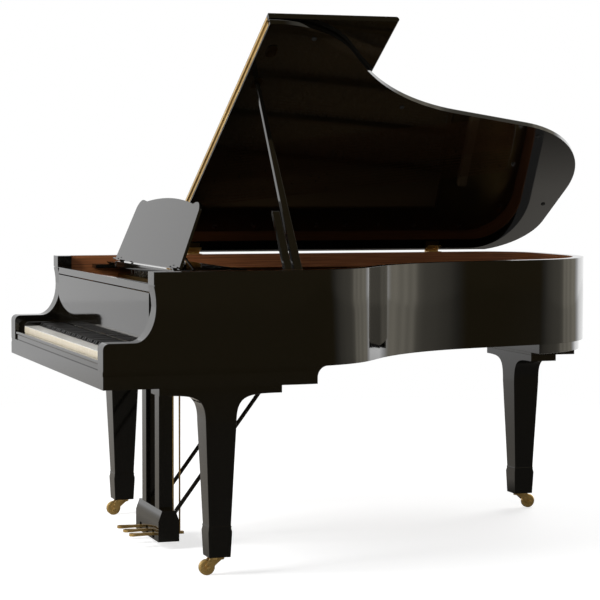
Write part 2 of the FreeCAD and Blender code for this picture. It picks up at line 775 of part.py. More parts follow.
def black_key(note):
    """A sharp: raised cap with a sloped front on a lower stick."""
    top = KEY_TOP + BLACK_RISE
    stick = KEY_TOP - BLACK_STICK
    points = [(BLACK_FRONT, KEY_BOTTOM), (BLACK_FRONT, KEY_TOP), (BLACK_FRONT + BLACK_SLOPE, top),
              (BLACK_BACK, top), (BLACK_BACK, stick), (KEY_BACK, stick), (KEY_BACK, KEY_BOTTOM)]
    half = BLACK_WIDTH / 2
    return side_profile(points, black_centre(note) - half, black_centre(note) + half)


def action_frame():
    """Key frame with its three rails, and the brackets that hold the hammer rail over it."""
    half = WHITE_COUNT * WHITE_PITCH / 2
    rail_top = RIM_BOTTOM + FRAME_RAIL
    seat_top = KEY_BOTTOM - SEAT
    pieces = [box(-half, half, FRONT_RAIL[0], BACK_RAIL[1], RIM_BOTTOM, RIM_BOTTOM + FRAME_BASE),
              box(-half, half, FRONT_RAIL[0], FRONT_RAIL[1], RIM_BOTTOM, rail_top),
              box(-half, half, KEY_BALANCE - BALANCE_HALF, KEY_BALANCE + BALANCE_HALF, RIM_BOTTOM, rail_top),
              box(-half, half, KEY_BALANCE - BALANCE_BEAD, KEY_BALANCE + BALANCE_BEAD, RIM_BOTTOM, seat_top),
              box(-half, half, BACK_RAIL[0], BACK_RAIL[1], RIM_BOTTOM, seat_top),
              box(-half, half, ACTION_RAIL_Y, ACTION_RAIL_Y + ACTION_RAIL_SIZE, ACTION_RAIL_Z,
                  ACTION_RAIL_Z + ACTION_RAIL_SIZE)]
    for i in range(BRACKET_COUNT):
        x = -half + i * (2 * half - BRACKET_WIDTH) / (BRACKET_COUNT - 1)
        pieces.append(box(x, x + BRACKET_WIDTH, ACTION_RAIL_Y, ACTION_RAIL_Y + ACTION_RAIL_SIZE,
                          RIM_BOTTOM, ACTION_RAIL_Z))
    return fused(pieces)


def hammers():
    """A row of hammers: a slim shank from the rail and a felt head under its string."""
    low = ACTION_RAIL_Z + (ACTION_RAIL_SIZE - SHANK) / 2
    back = HAMMER_Y + HAMMER_HEAD / 2
    front = HAMMER_Y - HAMMER_HEAD / 2
    tip = STRING_Z - HAMMER_DROP
    rail = ACTION_RAIL_Y + ACTION_RAIL_SIZE
    points = [(rail, low), (back, low), (back, tip - HAMMER_HEAD), (HAMMER_Y + HAMMER_TIP, tip),
              (HAMMER_Y - HAMMER_TIP, tip), (front, tip - HAMMER_HEAD), (front, low + SHANK),
              (rail, low + SHANK)]
    half = HAMMER_WIDTH / 2
    row = []
    for note, x in enumerate(note_starts()):
        centre = lean_x(x, HAMMER_Y, string_lean(note))
        row.append(side_profile(points, centre - half, centre + half))
    return group(row)


def dampers():
    """Damper heads just above the strings, each on a wire from the lift tray."""
    half = DAMPER_WIDTH / 2
    wire = DAMPER_WIRE / 2
    tray_top = DAMPER_TRAY_Z + DAMPER_TRAY
    heads = []
    xs = []
    for note, x in enumerate(note_starts()[:DAMPER_COUNT]):
        centre = lean_x(x, DAMPER_Y, string_lean(note))
        low = string_z(note) + STRING_RADIUS + SEAT
        head = box(centre - half, centre + DAMPER_OFFSET + wire, DAMPER_Y - DAMPER_LENGTH / 2,
                   DAMPER_Y + DAMPER_LENGTH / 2, low, low + DAMPER_HEIGHT)
        wire_x = centre + DAMPER_OFFSET
        stem = box(wire_x - wire, wire_x + wire, DAMPER_Y - wire, DAMPER_Y + wire, tray_top, low)
        heads += [head, stem]
        xs.append(wire_x)
    tray = box(min(xs) - DAMPER_TRAY, max(xs) + DAMPER_TRAY, DAMPER_Y - DAMPER_TRAY, DAMPER_Y + DAMPER_TRAY,
               DAMPER_TRAY_Z, tray_top)
    return group(heads + [tray])


def key_slip():
    """Rail in front of the keys, with a raised bead along its top."""
    top = RIM_BOTTOM + SLIP_HEIGHT
    back = SLIP_FRONT + SLIP_THICK
    bead = SLIP_FRONT + SLIP_BEAD
    line = top - 3 * SLIP_BEAD
    points = [(bead, RIM_BOTTOM), (back, RIM_BOTTOM), (back, top), (bead, top), (SLIP_FRONT, top - SLIP_BEAD),
              (SLIP_FRONT, line), (bead, line - SLIP_BEAD)]
    return side_profile(points, -ARM_INNER, ARM_INNER)


def cheek_blocks():
    inner = WHITE_COUNT * WHITE_PITCH / 2 + SHIFT_CLEAR
    top = RIM_BOTTOM + CHEEK_HEIGHT
    points = [(CHEEK_FRONT, RIM_BOTTOM), (CHEEK_BACK, RIM_BOTTOM), (CHEEK_BACK, top),
              (CHEEK_FRONT + CHEEK_ROUND, top), (CHEEK_FRONT, top - CHEEK_ROUND)]
    block = side_profile(points, inner, ARM_INNER)
    return group([block, mirrored(block)])


def fallboard():
    """The key cover, standing open, with a pivot pin at each end."""
    half = ARM_INNER - FALL_SIDE
    low = KEY_TOP + BLACK_RISE + FALL_OVER_KEYS - CUT
    board = box(-half, half, FALL_FRONT, FALL_FRONT + FALL_THICK, low, low + FALL_HEIGHT)
    long_edges = [e for e in board.Edges if e.Length > half and e.BoundBox.ZMin > low]
    board = board.makeFillet(STRETCHER_GAP, long_edges)
    pivot = fall_axis()
    reach = ARM_INNER + FALL_PIN_LENGTH - RUN_FIT
    pin = rod(V(half - CUT, pivot.y, pivot.z), V(reach, pivot.y, pivot.z), FALL_PIN)
    return fused([board, pin, mirrored(pin)])


def stretcher():
    low = KEY_TOP + BLACK_RISE + FALL_OVER_KEYS - CUT + FALL_HEIGHT + STRETCHER_GAP
    return box(-ARM_INNER, ARM_INNER, FALL_FRONT, FALL_FRONT + STRETCHER_THICK, low, low + STRETCHER_HEIGHT)


# Music desk

def desk_rails():
    """Two runners on the case sides that the shelf slides on."""
    top = SHELF_TOP - SHELF_THICK - SEAT
    rail = box(INNER_X - DESK_RAIL_WIDTH, INNER_X, DESK_RAIL_FRONT, SHELF_BACK, top - DESK_RAIL_HEIGHT, top)
    return group([rail, mirrored(rail)])


def desk_shelf():
    """The sliding board with two ears, and on each side a lowered margin with a wing to the runner."""
    low = SHELF_TOP - SHELF_THICK
    split = STRUT_X - STRUT_DESK_WIDTH / 2 - STRUT_DESK_CLEAR
    board = box(-split, split, SHELF_FRONT, SHELF_BACK, low, SHELF_TOP)
    margin = box(split, SHELF_HALF, SHELF_FRONT, SHELF_BACK, low, SHELF_TOP - MARGIN_DROP)
    corner = [e for e in margin.Edges if e.BoundBox.XMin > split and e.BoundBox.YMax < DESK_Y
              and e.BoundBox.ZLength > SHELF_ROUND]
    margin = margin.makeFillet(SHELF_ROUND, corner)
    wing_top = low + WING_THICK
    wing = side_profile([(WING_FRONT, wing_top), (SHELF_BACK, wing_top), (SHELF_BACK, low),
                         (WING_FRONT + WING_THICK, low)], split, INNER_X - WING_SIDE_GAP)
    side = fused([margin, wing])
    outer = DESK_HALF - DESK_EAR_INSET
    inner = outer - DESK_EAR
    post = box(inner, outer, DESK_Y - DESK_EAR_RADIUS, DESK_Y + DESK_EAR_RADIUS, SHELF_TOP, DESK_AXIS_Z)
    cap = rod(V(inner, DESK_Y, DESK_AXIS_Z), V(outer, DESK_Y, DESK_AXIS_Z), DESK_EAR_RADIUS)
    ear = fused([post, cap])
    bore = rod(V(-DESK_HALF, DESK_Y, DESK_AXIS_Z), V(DESK_HALF, DESK_Y, DESK_AXIS_Z), DESK_PIN + RUN_FIT)
    return group([fused([board, ear, mirrored(ear)]).cut(bore), side, mirrored(side)])


def desk_outline():
    """Front view of the desk as it stands upright on its axis: round shoulders and one broad arch."""
    peak_share = 0.863
    notch_share = 0.772
    shoulder_shares = (0.946, 0.75)
    lobe_shares = (0.81, 0.21)
    dip = DESK_SHOULDER - DESK_NOTCH
    low = DESK_AXIS_Z - DESK_FOOT

    def at(along_share, rise):
        return V(along_share * DESK_TOP_HALF, DESK_Y, DESK_AXIS_Z + DESK_HEIGHT + rise)

    edges = [Part.Arc(at(-notch_share, dip), at(0, dip + DESK_CROWN), at(notch_share, dip)).toShape()]
    for side in (-1, 1):
        peak = at(side * peak_share, DESK_SHOULDER)
        lobe = at(side * lobe_shares[0], DESK_SHOULDER - lobe_shares[1] * DESK_NOTCH)
        shoulder = at(side * shoulder_shares[0], shoulder_shares[1] * DESK_SHOULDER)
        edges.append(Part.Arc(at(side * notch_share, dip), lobe, peak).toShape())
        edges.append(Part.Arc(peak, shoulder, at(side, 0)).toShape())
        p = run(edges, at(side, 0), V(side * DESK_HALF, DESK_Y, DESK_AXIS_Z + DESK_FOOT))
        run(edges, p, V(side * DESK_HALF, DESK_Y, low))
    run(edges, V(-DESK_HALF, DESK_Y, low), V(DESK_HALF, DESK_Y, low))
    return Part.Wire(Part.__sortEdges__(edges))


def lean_desk(shape):
    """Tip an upright piece back to the desk's resting angle."""
    shape.rotate(V(0, DESK_Y, DESK_AXIS_Z), V(-1, 0, 0), DESK_LEAN)
    return shape


def strut_axis():
    """The struts' hinge line in the upright desk: inside the recesses in its back."""
    return V(0, DESK_Y + (DESK_THICK - STRUT_DESK_THICK) / 2, DESK_AXIS_Z + STRUT_AT)


def strut_hinge():
    """The same hinge line once the desk leans back."""
    return lean_desk(Part.Vertex(strut_axis())).Point


def strut_length():
    """Long enough to reach the shelf's margin from the leaning desk."""
    floor = SHELF_TOP - MARGIN_DROP + SEAT + STRUT_DESK_THICK / 2
    return (strut_hinge().z - floor) / math.sin(math.radians(STRUT_ELEVATION))


def desk_panel():
    """The music desk with its ledge, its pins and a recess in its back for each strut."""
    half_thick = DESK_THICK / 2
    panel = Part.Face(desk_outline())
    panel.translate(V(0, -half_thick, 0))
    panel = panel.extrude(V(0, DESK_THICK, 0))
    foot = DESK_AXIS_Z - DESK_FOOT
    front = DESK_Y - half_thick - DESK_LEDGE
    ledge = box(-DESK_HALF, DESK_HALF, front, DESK_Y, foot, foot + DESK_LEDGE_THICK)
    body = fused([panel, ledge])
    outer = DESK_HALF - DESK_EAR_INSET + DESK_EAR_GAP
    inner = outer - DESK_EAR - 2 * DESK_EAR_GAP
    notch = box(inner, outer, front - CUT, DESK_Y + half_thick + CUT, foot - CUT,
                DESK_AXIS_Z + DESK_EAR_RADIUS + DESK_EAR_GAP)
    axis = strut_axis()
    half = STRUT_DESK_WIDTH / 2 + STRUT_DESK_CLEAR
    recess = box(STRUT_X - half, STRUT_X + half, axis.y - STRUT_DESK_THICK / 2 - STRUT_DESK_CLEAR,
                 DESK_Y + half_thick + CUT, axis.z - STRUT_DESK_THICK,
                 axis.z + strut_length() + STRUT_DESK_THICK)
    bore_reach = half + STRUT_PIN_LENGTH
    bore = rod(V(STRUT_X - bore_reach, axis.y, axis.z), V(STRUT_X + bore_reach, axis.y, axis.z),
               STRUT_PIN + RUN_FIT)
    for gap in (notch, recess, bore):
        body = body.cut(gap).cut(mirrored(gap))
    pin = rod(V(inner - DESK_EAR, DESK_Y, DESK_AXIS_Z), V(outer + DESK_EAR, DESK_Y, DESK_AXIS_Z), DESK_PIN)
    return lean_desk(fused([body, pin, mirrored(pin)]))


def desk_strut():
    """Two folding legs behind the desk, hinged in its back, with their feet on the shelf's margins."""
    axis = strut_axis()
    half = STRUT_DESK_WIDTH / 2
    thick = STRUT_DESK_THICK / 2
    length = strut_length()
    blade = box(STRUT_X - half, STRUT_X + half, axis.y - thick, axis.y + thick, axis.z, axis.z + length)

    def cross(z, reach, radius):
        return rod(V(STRUT_X - reach, axis.y, z), V(STRUT_X + reach, axis.y, z), radius)

    strut = fused([blade, cross(axis.z, half, thick), cross(axis.z + length, half, thick),
                   cross(axis.z, half + STRUT_PIN_LENGTH, STRUT_PIN)])
    strut.rotate(axis, V(-1, 0, 0), 90 + STRUT_ELEVATION - DESK_LEAN)
    strut = lean_desk(strut)
    return group([strut, mirrored(strut)])


# Lid

def open_lid(shape):
    """Swing a piece modelled on the shut lid up to the photographed angle."""
    shape.rotate(V(HINGE_X, 0, HINGE_Z), V(0, -1, 0), LID_OPEN)
    return shape


def fold_flap(shape):
    """Fold a piece modelled on the flat front flap back on top of the main lid."""
    shape.rotate(V(0, FLAP_HINGE_Y, LID_TOP + FLAP_GAP / 2), V(-1, 0, 0), 180)
    return open_lid(shape)


def lid():
    """Main lid leaf: the case outline with an overhang, from the flap's hinge to the tail."""
    front = FLAP_HINGE_Y + PIANO_HINGE_RADIUS + PIANO_HINGE_LEAF
    sheet = prism(case_wire(-LID_OVERHANG, front), LID_BOTTOM, LID_TOP)
    sheet = sheet.common(box(-HALF, CASE_WIDTH, 0, 2 * TAIL_Y, LID_BOTTOM, LID_TOP))
    edges = [e for e in sheet.Edges
             if e.BoundBox.ZMin > LID_BOTTOM and e.BoundBox.YMax > front + LID_EDGE
             and e.BoundBox.XMax > LID_EDGE - HALF]
    return open_lid(sheet.makeFillet(LID_EDGE, edges))


def lid_flap():
    """Front leaf with a rounded lip, folded back on the main lid."""
    back = FLAP_HINGE_Y - PIANO_HINGE_RADIUS - PIANO_HINGE_LEAF
    front = FLAP_HINGE_Y - FLAP_DEPTH
    sheet = box(-HALF, HALF + LID_OVERHANG, front, back, LID_BOTTOM, LID_TOP)
    lip = LID_THICK / 2 - RUN_FIT
    edges = [e for e in sheet.Edges if e.Length > HALF and e.BoundBox.YMax < back]
    return fold_flap(sheet.makeFillet(lip, edges))


def butt_hinge(y, upper):
    """One leaf of a spine hinge; the lower leaf carries the two end knuckles and the pin."""
    y0 = y - HINGE_LENGTH / 2
    third = HINGE_LENGTH / 3
    z0 = LID_BOTTOM - HINGE_LEAF if upper else RIM_TOP
    leaf = box(-HALF, HINGE_WIDTH - HALF, y0, y0 + HINGE_LENGTH, z0, z0 + HINGE_LEAF)
    spans = [(y0 + third + KNUCKLE_GAP, y0 + 2 * third - KNUCKLE_GAP)]
    if not upper:
        spans = [(y0, y0 + third), (y0 + 2 * third, y0 + HINGE_LENGTH)]
    pieces = [leaf]
    for low, high in spans:
        pieces.append(rod(V(HINGE_X, low, HINGE_Z), V(HINGE_X, high, HINGE_Z), HINGE_RADIUS))
        pieces.append(box(HINGE_X, -HALF, low, high, z0, z0 + HINGE_LEAF))
    if not upper:
        pieces.append(rod(V(HINGE_X, y0, HINGE_Z), V(HINGE_X, y0 + HINGE_LENGTH, HINGE_Z), HINGE_PIN))
        return fused(pieces)
    bore = rod(V(HINGE_X, y0, HINGE_Z), V(HINGE_X, y0 + HINGE_LENGTH, HINGE_Z), HINGE_PIN + RUN_FIT)
    return open_lid(fused(pieces).cut(bore))


def piano_hinge(on_flap):
    """One leaf of the long hinge between lid and flap; the lid's leaf carries the pin."""
    left = -HALF + LID_EDGE
    right = HALF - LID_EDGE
    axis_z = LID_TOP + FLAP_GAP / 2
    step = (right - left) / PIANO_HINGE_KNUCKLES
    side = -1 if on_flap else 1
    near = FLAP_HINGE_Y + side * PIANO_HINGE_RADIUS
    far = near + side * PIANO_HINGE_LEAF
    y0, y1 = min(near, far), max(near, far)
    pieces = [box(left, right, y0, y1, LID_BOTTOM + LID_THICK / 4, LID_TOP - FLAP_GAP / 2)]
    for k in range(1 if on_flap else 0, PIANO_HINGE_KNUCKLES, 2):
        x0 = left + k * step + KNUCKLE_GAP
        x1 = left + (k + 1) * step - KNUCKLE_GAP
        pieces.append(rod(V(x0, FLAP_HINGE_Y, axis_z), V(x1, FLAP_HINGE_Y, axis_z), PIANO_HINGE_RADIUS))
        pieces.append(box(x0, x1, min(FLAP_HINGE_Y, far), max(FLAP_HINGE_Y, far), LID_TOP - FLAP_GAP / 2,
                          LID_TOP))
    ends = V(left, FLAP_HINGE_Y, axis_z), V(right, FLAP_HINGE_Y, axis_z)
    if on_flap:
        return fold_flap(fused(pieces).cut(rod(ends[0], ends[1], PIANO_HINGE_PIN + RUN_FIT)))
    return open_lid(fused(pieces + [rod(ends[0], ends[1], PIANO_HINGE_PIN)]))


def lid_bumpers():
    """Rubber buttons under the lid that meet the rim when it is shut."""
    buttons = []
    for x, y in BUMPER_SPOTS:
        top = V(x, y, LID_BOTTOM)
        tip = BUMPER_RADIUS - BUMPER_HEIGHT / 2
        button = Part.makeCone(BUMPER_RADIUS, tip, BUMPER_HEIGHT, top, V(0, 0, -1))
        buttons.append(open_lid(button))
    return group(buttons)


def prop_cup(x):
    """Oval cup under the lid: a round socket for the end of the stick, open towards the spine."""
    half = (CUP_LENGTH - CUP_WIDTH) / 2
    radius = CUP_WIDTH / 2
    z0 = LID_BOTTOM - CUP_THICK
    ends = [rod(V(x + s * half, PROP_Y, z0), V(x + s * half, PROP_Y, LID_BOTTOM), radius) for s in (-1, 1)]
    body = fused([box(x - half, x + half, PROP_Y - radius, PROP_Y + radius, z0, LID_BOTTOM)] + ends)
    socket = rod(V(x, PROP_Y, z0 - CUT), V(x, PROP_Y, LID_BOTTOM - CUP_FLOOR), CUP_BORE)
    mouth = box(x - CUP_LENGTH, x, PROP_Y - CUP_BORE, PROP_Y + CUP_BORE, z0 - CUT, LID_BOTTOM - CUP_FLOOR)
    return open_lid(body.cut(socket).cut(mouth))


def prop_cups():
    return group([prop_cup(CUP_AT), prop_cup(CUP_SPARE)])


def stick_end():
    """Centre of the stick's round end, resting just under the floor of its cup."""
    spot = Part.Vertex(CUP_AT, PROP_Y, LID_BOTTOM - CUP_FLOOR - SEAT - PROP_TIP)
    return open_lid(spot).Point


def stick_angle():
    end = stick_end()
    return math.degrees(math.atan2(end.z - PROP_Z, PROP_X - end.x))


def stick(length, y, width, tip_width):
    """A tapered stick modelled lying towards the spine, then raised to the lid's cup."""
    base = PROP_DEPTH / 2
    pivot = V(PROP_X, y, PROP_Z)
    tip = V(PROP_X - length, y, PROP_Z)

    def section(centre, half_width, half_depth):
        corners = [(-half_width, -half_depth), (half_width, -half_depth), (half_width, half_depth),
                   (-half_width, half_depth)]
        return polygon([centre + V(0, across, up) for across, up in corners])

    def round_end(centre, half_width, radius):
        return rod(centre - V(0, half_width, 0), centre + V(0, half_width, 0), radius)

    ends = [section(pivot, width / 2, base), section(tip, tip_width / 2, PROP_TIP)]
    blade = Part.makeLoft(ends, True, True)
    body = fused([blade, round_end(pivot, width / 2, base), round_end(tip, tip_width / 2, PROP_TIP)])
    body = body.cut(round_end(pivot, width, PROP_PIN + RUN_FIT))
    body.rotate(V(PROP_X, 0, PROP_Z), V(0, 1, 0), stick_angle())
    return body


def lid_prop():
    end = stick_end()
    return stick(math.hypot(end.x - PROP_X, end.z - PROP_Z), PROP_Y, PROP_WIDTH, PROP_TIP_WIDTH)


def short_prop_y():
    return PROP_Y - PROP_WIDTH / 2 - PROP_LUG - PROP_SIDE_GAP - SHORT_PROP_WIDTH / 2


def short_prop():
    return stick(SHORT_PROP_LENGTH, short_prop_y(), SHORT_PROP_WIDTH, SHORT_PROP_WIDTH)


def prop_bracket():
    """Plate on the inside of the rim with three lugs and the pin both sticks turn on."""
    lugs = [short_prop_y() - SHORT_PROP_WIDTH / 2 - PROP_SIDE_GAP / 2 - PROP_LUG,
            short_prop_y() + SHORT_PROP_WIDTH / 2 + PROP_SIDE_GAP / 2,
            PROP_Y + PROP_WIDTH / 2 + PROP_SIDE_GAP / 2]
    back = INNER_X - PROP_BRACKET_BASE
    low = PROP_Z - PROP_DEPTH
    end = lugs[2] + PROP_LUG
    pieces = [box(back, INNER_X, lugs[0], end, low, PROP_Z + PROP_DEPTH / 2),
              rod(V(PROP_X, lugs[0], PROP_Z), V(PROP_X, end, PROP_Z), PROP_PIN)]
    for y in lugs:
        pieces.append(rod(V(PROP_X, y, PROP_Z), V(PROP_X, y + PROP_LUG, PROP_Z), PROP_LUG_RADIUS))
        pieces.append(box(PROP_X, back, y, y + PROP_LUG, PROP_Z - PROP_LUG_RADIUS, PROP_Z + PROP_LUG_RADIUS))
    return fused(pieces).common(prism(case_wire(RIM_THICK + VENEER, 0), low, RIM_TOP))


# Legs and casters

def square(width, z):
    half = width / 2
    return polygon([V(-half, -half, z), V(half, -half, z), V(half, half, z), V(-half, half, z)])


def leg_bracket(top, cap_height, reach, width):
    """Scrolled bracket across the head of a leg, drawn in the Y-Z plane."""
    half = LEG_TOP_WIDTH / 2
    cap = top - cap_height
    low = cap - BRACKET_DROP
    x = -width / 2

    def scroll(side):
        curve = Part.BezierCurve()
        ear = side * reach
        hollow = side * (half + (reach - half) * BRACKET_HOLLOW_SHARE)
        curve.setPoles([V(x, ear, cap), V(x, hollow, cap), V(x, side * half, cap), V(x, side * half, low)])
        return curve.toShape()

    edges = [scroll(1), scroll(-1)]
    run(edges, V(x, half, low), V(x, -half, low))
    p = run(edges, V(x, -reach, cap), V(x, -reach, top))
    p = run(edges, p, V(x, reach, top))
    run(edges, p, V(x, reach, cap))
    wire = Part.Wire(Part.__sortEdges__(edges))
    return Part.Face(wire).extrude(V(width, 0, 0))


def leg_body(top, cap_height):
    """Square tapered leg with its bracket, a collar and a foot block bored for the caster."""
    shoulder = top - cap_height - BRACKET_DROP
    stations = [(LEG_SOLE_WIDTH, LEG_SOLE), (LEG_FOOT_WIDTH, LEG_CUFF_LOW), (LEG_CUFF_WIDTH, LEG_CUFF_HIGH),
                (LEG_TOP_WIDTH, shoulder), (LEG_TOP_WIDTH, top)]
    squares = [square(width, z) for width, z in stations]
    lengths = [Part.makeLoft(list(pair), True, True) for pair in zip(squares[:-1], squares[1:])]
    body = fused(lengths + [leg_bracket(top, cap_height, BRACKET_REACH, LEG_TOP_WIDTH)])
    bore = V(0, 0, LEG_SOLE - CUT)
    return body.cut(rod(bore, bore + V(0, 0, CUT + CASTER_STEM_LENGTH + CUT), CASTER_STEM + RUN_FIT))


def front_leg(x):
    body = leg_body(KEYBED_BOTTOM, BRACKET_CAP)
    body.translate(V(x, FRONT_LEG_Y, 0))
    return body


def rear_leg():
    """The same leg turned sideways, with a second scroll towards the tail."""
    body = leg_body(REAR_LEG_TOP, REAR_BRACKET_CAP)
    body.rotate(V(0, 0, 0), V(0, 0, 1), REAR_LEG_TURN)
    capital = leg_bracket(REAR_LEG_TOP, REAR_BRACKET_CAP, REAR_CAPITAL_REACH, LEG_TOP_WIDTH)
    rear_half = box(-LEG_TOP_WIDTH, LEG_TOP_WIDTH, 0, LEG_TOP_WIDTH, 0, REAR_LEG_TOP)
    body = fused([body, capital.common(rear_half)])
    body.translate(V(REAR_LEG_X, REAR_LEG_Y, 0))
    return body


def tail_board():
    """Board that follows the tail under the rim, with the thick slab the rear leg bolts to."""
    low = RIM_BOTTOM - TAIL_BOARD_THICK
    board = prism(case_wire(TAIL_BOARD_INSET, 0), low, RIM_BOTTOM)
    board = board.common(box(-HALF, HALF, TAIL_Y - TAIL_BOARD_LENGTH, TAIL_Y, low, RIM_BOTTOM))
    half = LEG_TOP_WIDTH / 2
    slab = box(REAR_LEG_X - BRACKET_REACH, REAR_LEG_X + BRACKET_REACH, REAR_LEG_Y - half,
               REAR_LEG_Y + TAIL_SLAB_BACK, REAR_LEG_TOP, low)
    return fused([board, slab])


def caster_fork(x, y, trail):
    """Brass caster horn: stem and boss under the leg, two cheeks and the wheel's axle."""
    boss_top = LEG_SOLE - SEAT
    boss_low = boss_top - FORK_BOSS
    inner = WHEEL_WIDTH / 2 + FORK_GAP
    outer = inner + FORK_CHEEK
    hub = FORK_HUB
    pieces = [rod(V(0, 0, boss_low), V(0, 0, boss_top), FORK_BOSS_RADIUS),
              rod(V(0, 0, boss_low), V(0, 0, boss_top + SEAT + CASTER_STEM_LENGTH), CASTER_STEM),
              rod(V(-outer, trail, WHEEL_RADIUS), V(outer, trail, WHEEL_RADIUS), WHEEL_AXLE)]
    side = 1 if trail > 0 else -1
    for x0 in (-outer, inner):
        cheek = [(-side * FORK_BOSS_RADIUS / 2, boss_top), (side * FORK_BOSS_RADIUS, boss_top),
                 (trail + side * hub, WHEEL_RADIUS + hub / 2), (trail + side * hub / 2, WHEEL_RADIUS - hub),
                 (trail - side * hub / 2, WHEEL_RADIUS - hub), (-side * FORK_BOSS_RADIUS / 2, boss_low)]
        pieces.append(side_profile(cheek, x0, x0 + FORK_CHEEK))
    body = fused(pieces)
    body.translate(V(x, y, 0))
    return body


def caster_wheel(x, y, trail):
    half = WHEEL_WIDTH / 2
    centre = V(x, y + trail, WHEEL_RADIUS)
    wheel = rod(centre - V(half, 0, 0), centre + V(half, 0, 0), WHEEL_RADIUS)
    wheel = wheel.makeChamfer(WHEEL_ROUND, [e for e in wheel.Edges if e.Closed])
    return wheel.cut(rod(centre - V(2 * half, 0, 0), centre + V(2 * half, 0, 0), WHEEL_AXLE + RUN_FIT))


# Pedal lyre

def pedal_xs():
    return [-PEDAL_SPACING, 0, PEDAL_SPACING]


def lyre_block():
    """The pedal box before it is hollowed: sloped shoulders along the front and the back."""
    side = LYRE_BOTTOM + LYRE_BOX
    points = [(LYRE_FRONT, LYRE_BOTTOM), (LYRE_BACK, LYRE_BOTTOM), (LYRE_BACK, side),
              (LYRE_POST_REAR, LYRE_TOP), (LYRE_POST_FRONT, LYRE_TOP), (LYRE_FRONT, side)]
    return side_profile(points, -LYRE_HALF, LYRE_HALF)


def lyre_box():
    """Hollow pedal box, open below, with a slot right through for each pedal and the pedals' axle."""
    inner = LYRE_HALF - LYRE_WALL
    body = lyre_block().cut(box(-inner, inner, LYRE_FRONT + LYRE_WALL, LYRE_BACK - LYRE_WALL / 2,
                                LYRE_BOTTOM - CUT, LYRE_BOTTOM + LYRE_BOX - LYRE_WALL))
    slot = PEDAL_NARROW / 2 + PEDAL_SLOT / 2
    for x in pedal_xs():
        body = body.cut(box(x - slot, x + slot, LYRE_FRONT - CUT, LYRE_BACK + CUT, PEDAL_Z - PEDAL_DOWN,
                            PEDAL_Z + PEDAL_THICK + PEDAL_SLOT))
    axle_z = PEDAL_Z + PEDAL_THICK / 2
    reach = LYRE_HALF - LYRE_WALL / 2
    axle = rod(V(-reach, PEDAL_PIVOT, axle_z), V(reach, PEDAL_PIVOT, axle_z), LYRE_AXLE)
    return fused([body, axle])


def lyre_posts():
    """Two square posts under a tapered head that bolts to the keybed, with the rods' guide behind."""
    y0 = LYRE_POST_FRONT
    y1 = LYRE_POST_REAR
    half = LYRE_POST / 2
    outer = LYRE_POST_SPACING / 2 + half
    head_low = KEYBED_BOTTOM - LYRE_HEAD
    corners = [(-LYRE_HEAD_HALF, KEYBED_BOTTOM), (LYRE_HEAD_HALF, KEYBED_BOTTOM), (outer, head_low),
               (-outer, head_low)]
    head = Part.Face(polygon([V(x, y0, z) for x, z in corners])).extrude(V(0, y1 - y0, 0))
    guide_top = KEYBED_BOTTOM - GUIDE_LOW
    guide = [(y1, guide_top), (y1 + GUIDE_REACH, guide_top - GUIDE_HEIGHT / 2),
             (y1 + GUIDE_REACH / 2, guide_top - GUIDE_HEIGHT), (y1, guide_top - GUIDE_HEIGHT)]
    pieces = [head, side_profile(guide, -outer, outer)]
    for x in (-LYRE_POST_SPACING / 2, LYRE_POST_SPACING / 2):
        pieces.append(box(x - half, x + half, y0, y1, LYRE_TOP, head_low))
    body = fused(pieces)
    for x in pedal_xs():
        foot = V(x, ROD_Y, guide_top - GUIDE_REACH)
        body = body.cut(rod(foot, V(x, ROD_Y, KEYBED_BOTTOM), ROD_RADIUS + RUN_FIT))
    return body


def lyre_braces():
    """Two diagonal sticks from the back of the pedal box up to their block behind the keybed."""
    sticks = []
    for x in (-BRACE_SPACING / 2, BRACE_SPACING / 2):
        low = V(x, LYRE_BACK - LYRE_CHAMFER / 2, LYRE_TOP - LYRE_CROWN / 2)
        high = V(x, BRACE_BACK, BRACE_TOP)
        along = (high - low).normalize() * (BRACE_RADIUS * 3)
        bar = rod(low - along, high + along, BRACE_RADIUS).cut(lyre_block())
        sticks.append(bar.common(box(-HALF, HALF, LYRE_FRONT, BRACE_BACK + BRACE_BLOCK, 0, BRACE_TOP)))
    return group(sticks)


def pedal(x):
    """Brass pedal: rounded toe, narrow neck through the box's slot, boss on the axle, heel under the rod."""
    narrow = PEDAL_NARROW / 2
    wide = PEDAL_WIDE / 2
    neck = LYRE_FRONT - PEDAL_WIDE
    top = PEDAL_Z + PEDAL_THICK
    lever = plan([(x - wide, PEDAL_TOE + wide), (x + wide, PEDAL_TOE + wide), (x + narrow, neck),
                  (x + narrow, PEDAL_END), (x - narrow, PEDAL_END), (x - narrow, neck)], PEDAL_Z, top)
    toe = rod(V(x, PEDAL_TOE + wide, PEDAL_Z), V(x, PEDAL_TOE + wide, top), wide)
    axle_z = PEDAL_Z + PEDAL_THICK / 2
    ends = V(x - narrow, PEDAL_PIVOT, axle_z), V(x + narrow, PEDAL_PIVOT, axle_z)
    body = fused([lever, toe, rod(ends[0], ends[1], PEDAL_BOSS)])
    return body.cut(rod(ends[0] - V(CUT, 0, 0), ends[1] + V(CUT, 0, 0), LYRE_AXLE + RUN_FIT))


def pedal_rod(x):
    """Thin brass rod from the pedal's heel up into the keybed."""
    return rod(V(x, ROD_Y, PEDAL_Z + PEDAL_THICK + SEAT), V(x, ROD_Y, KEYBED_BOTTOM + ROD_DEPTH), ROD_RADIUS)


# Everything by name

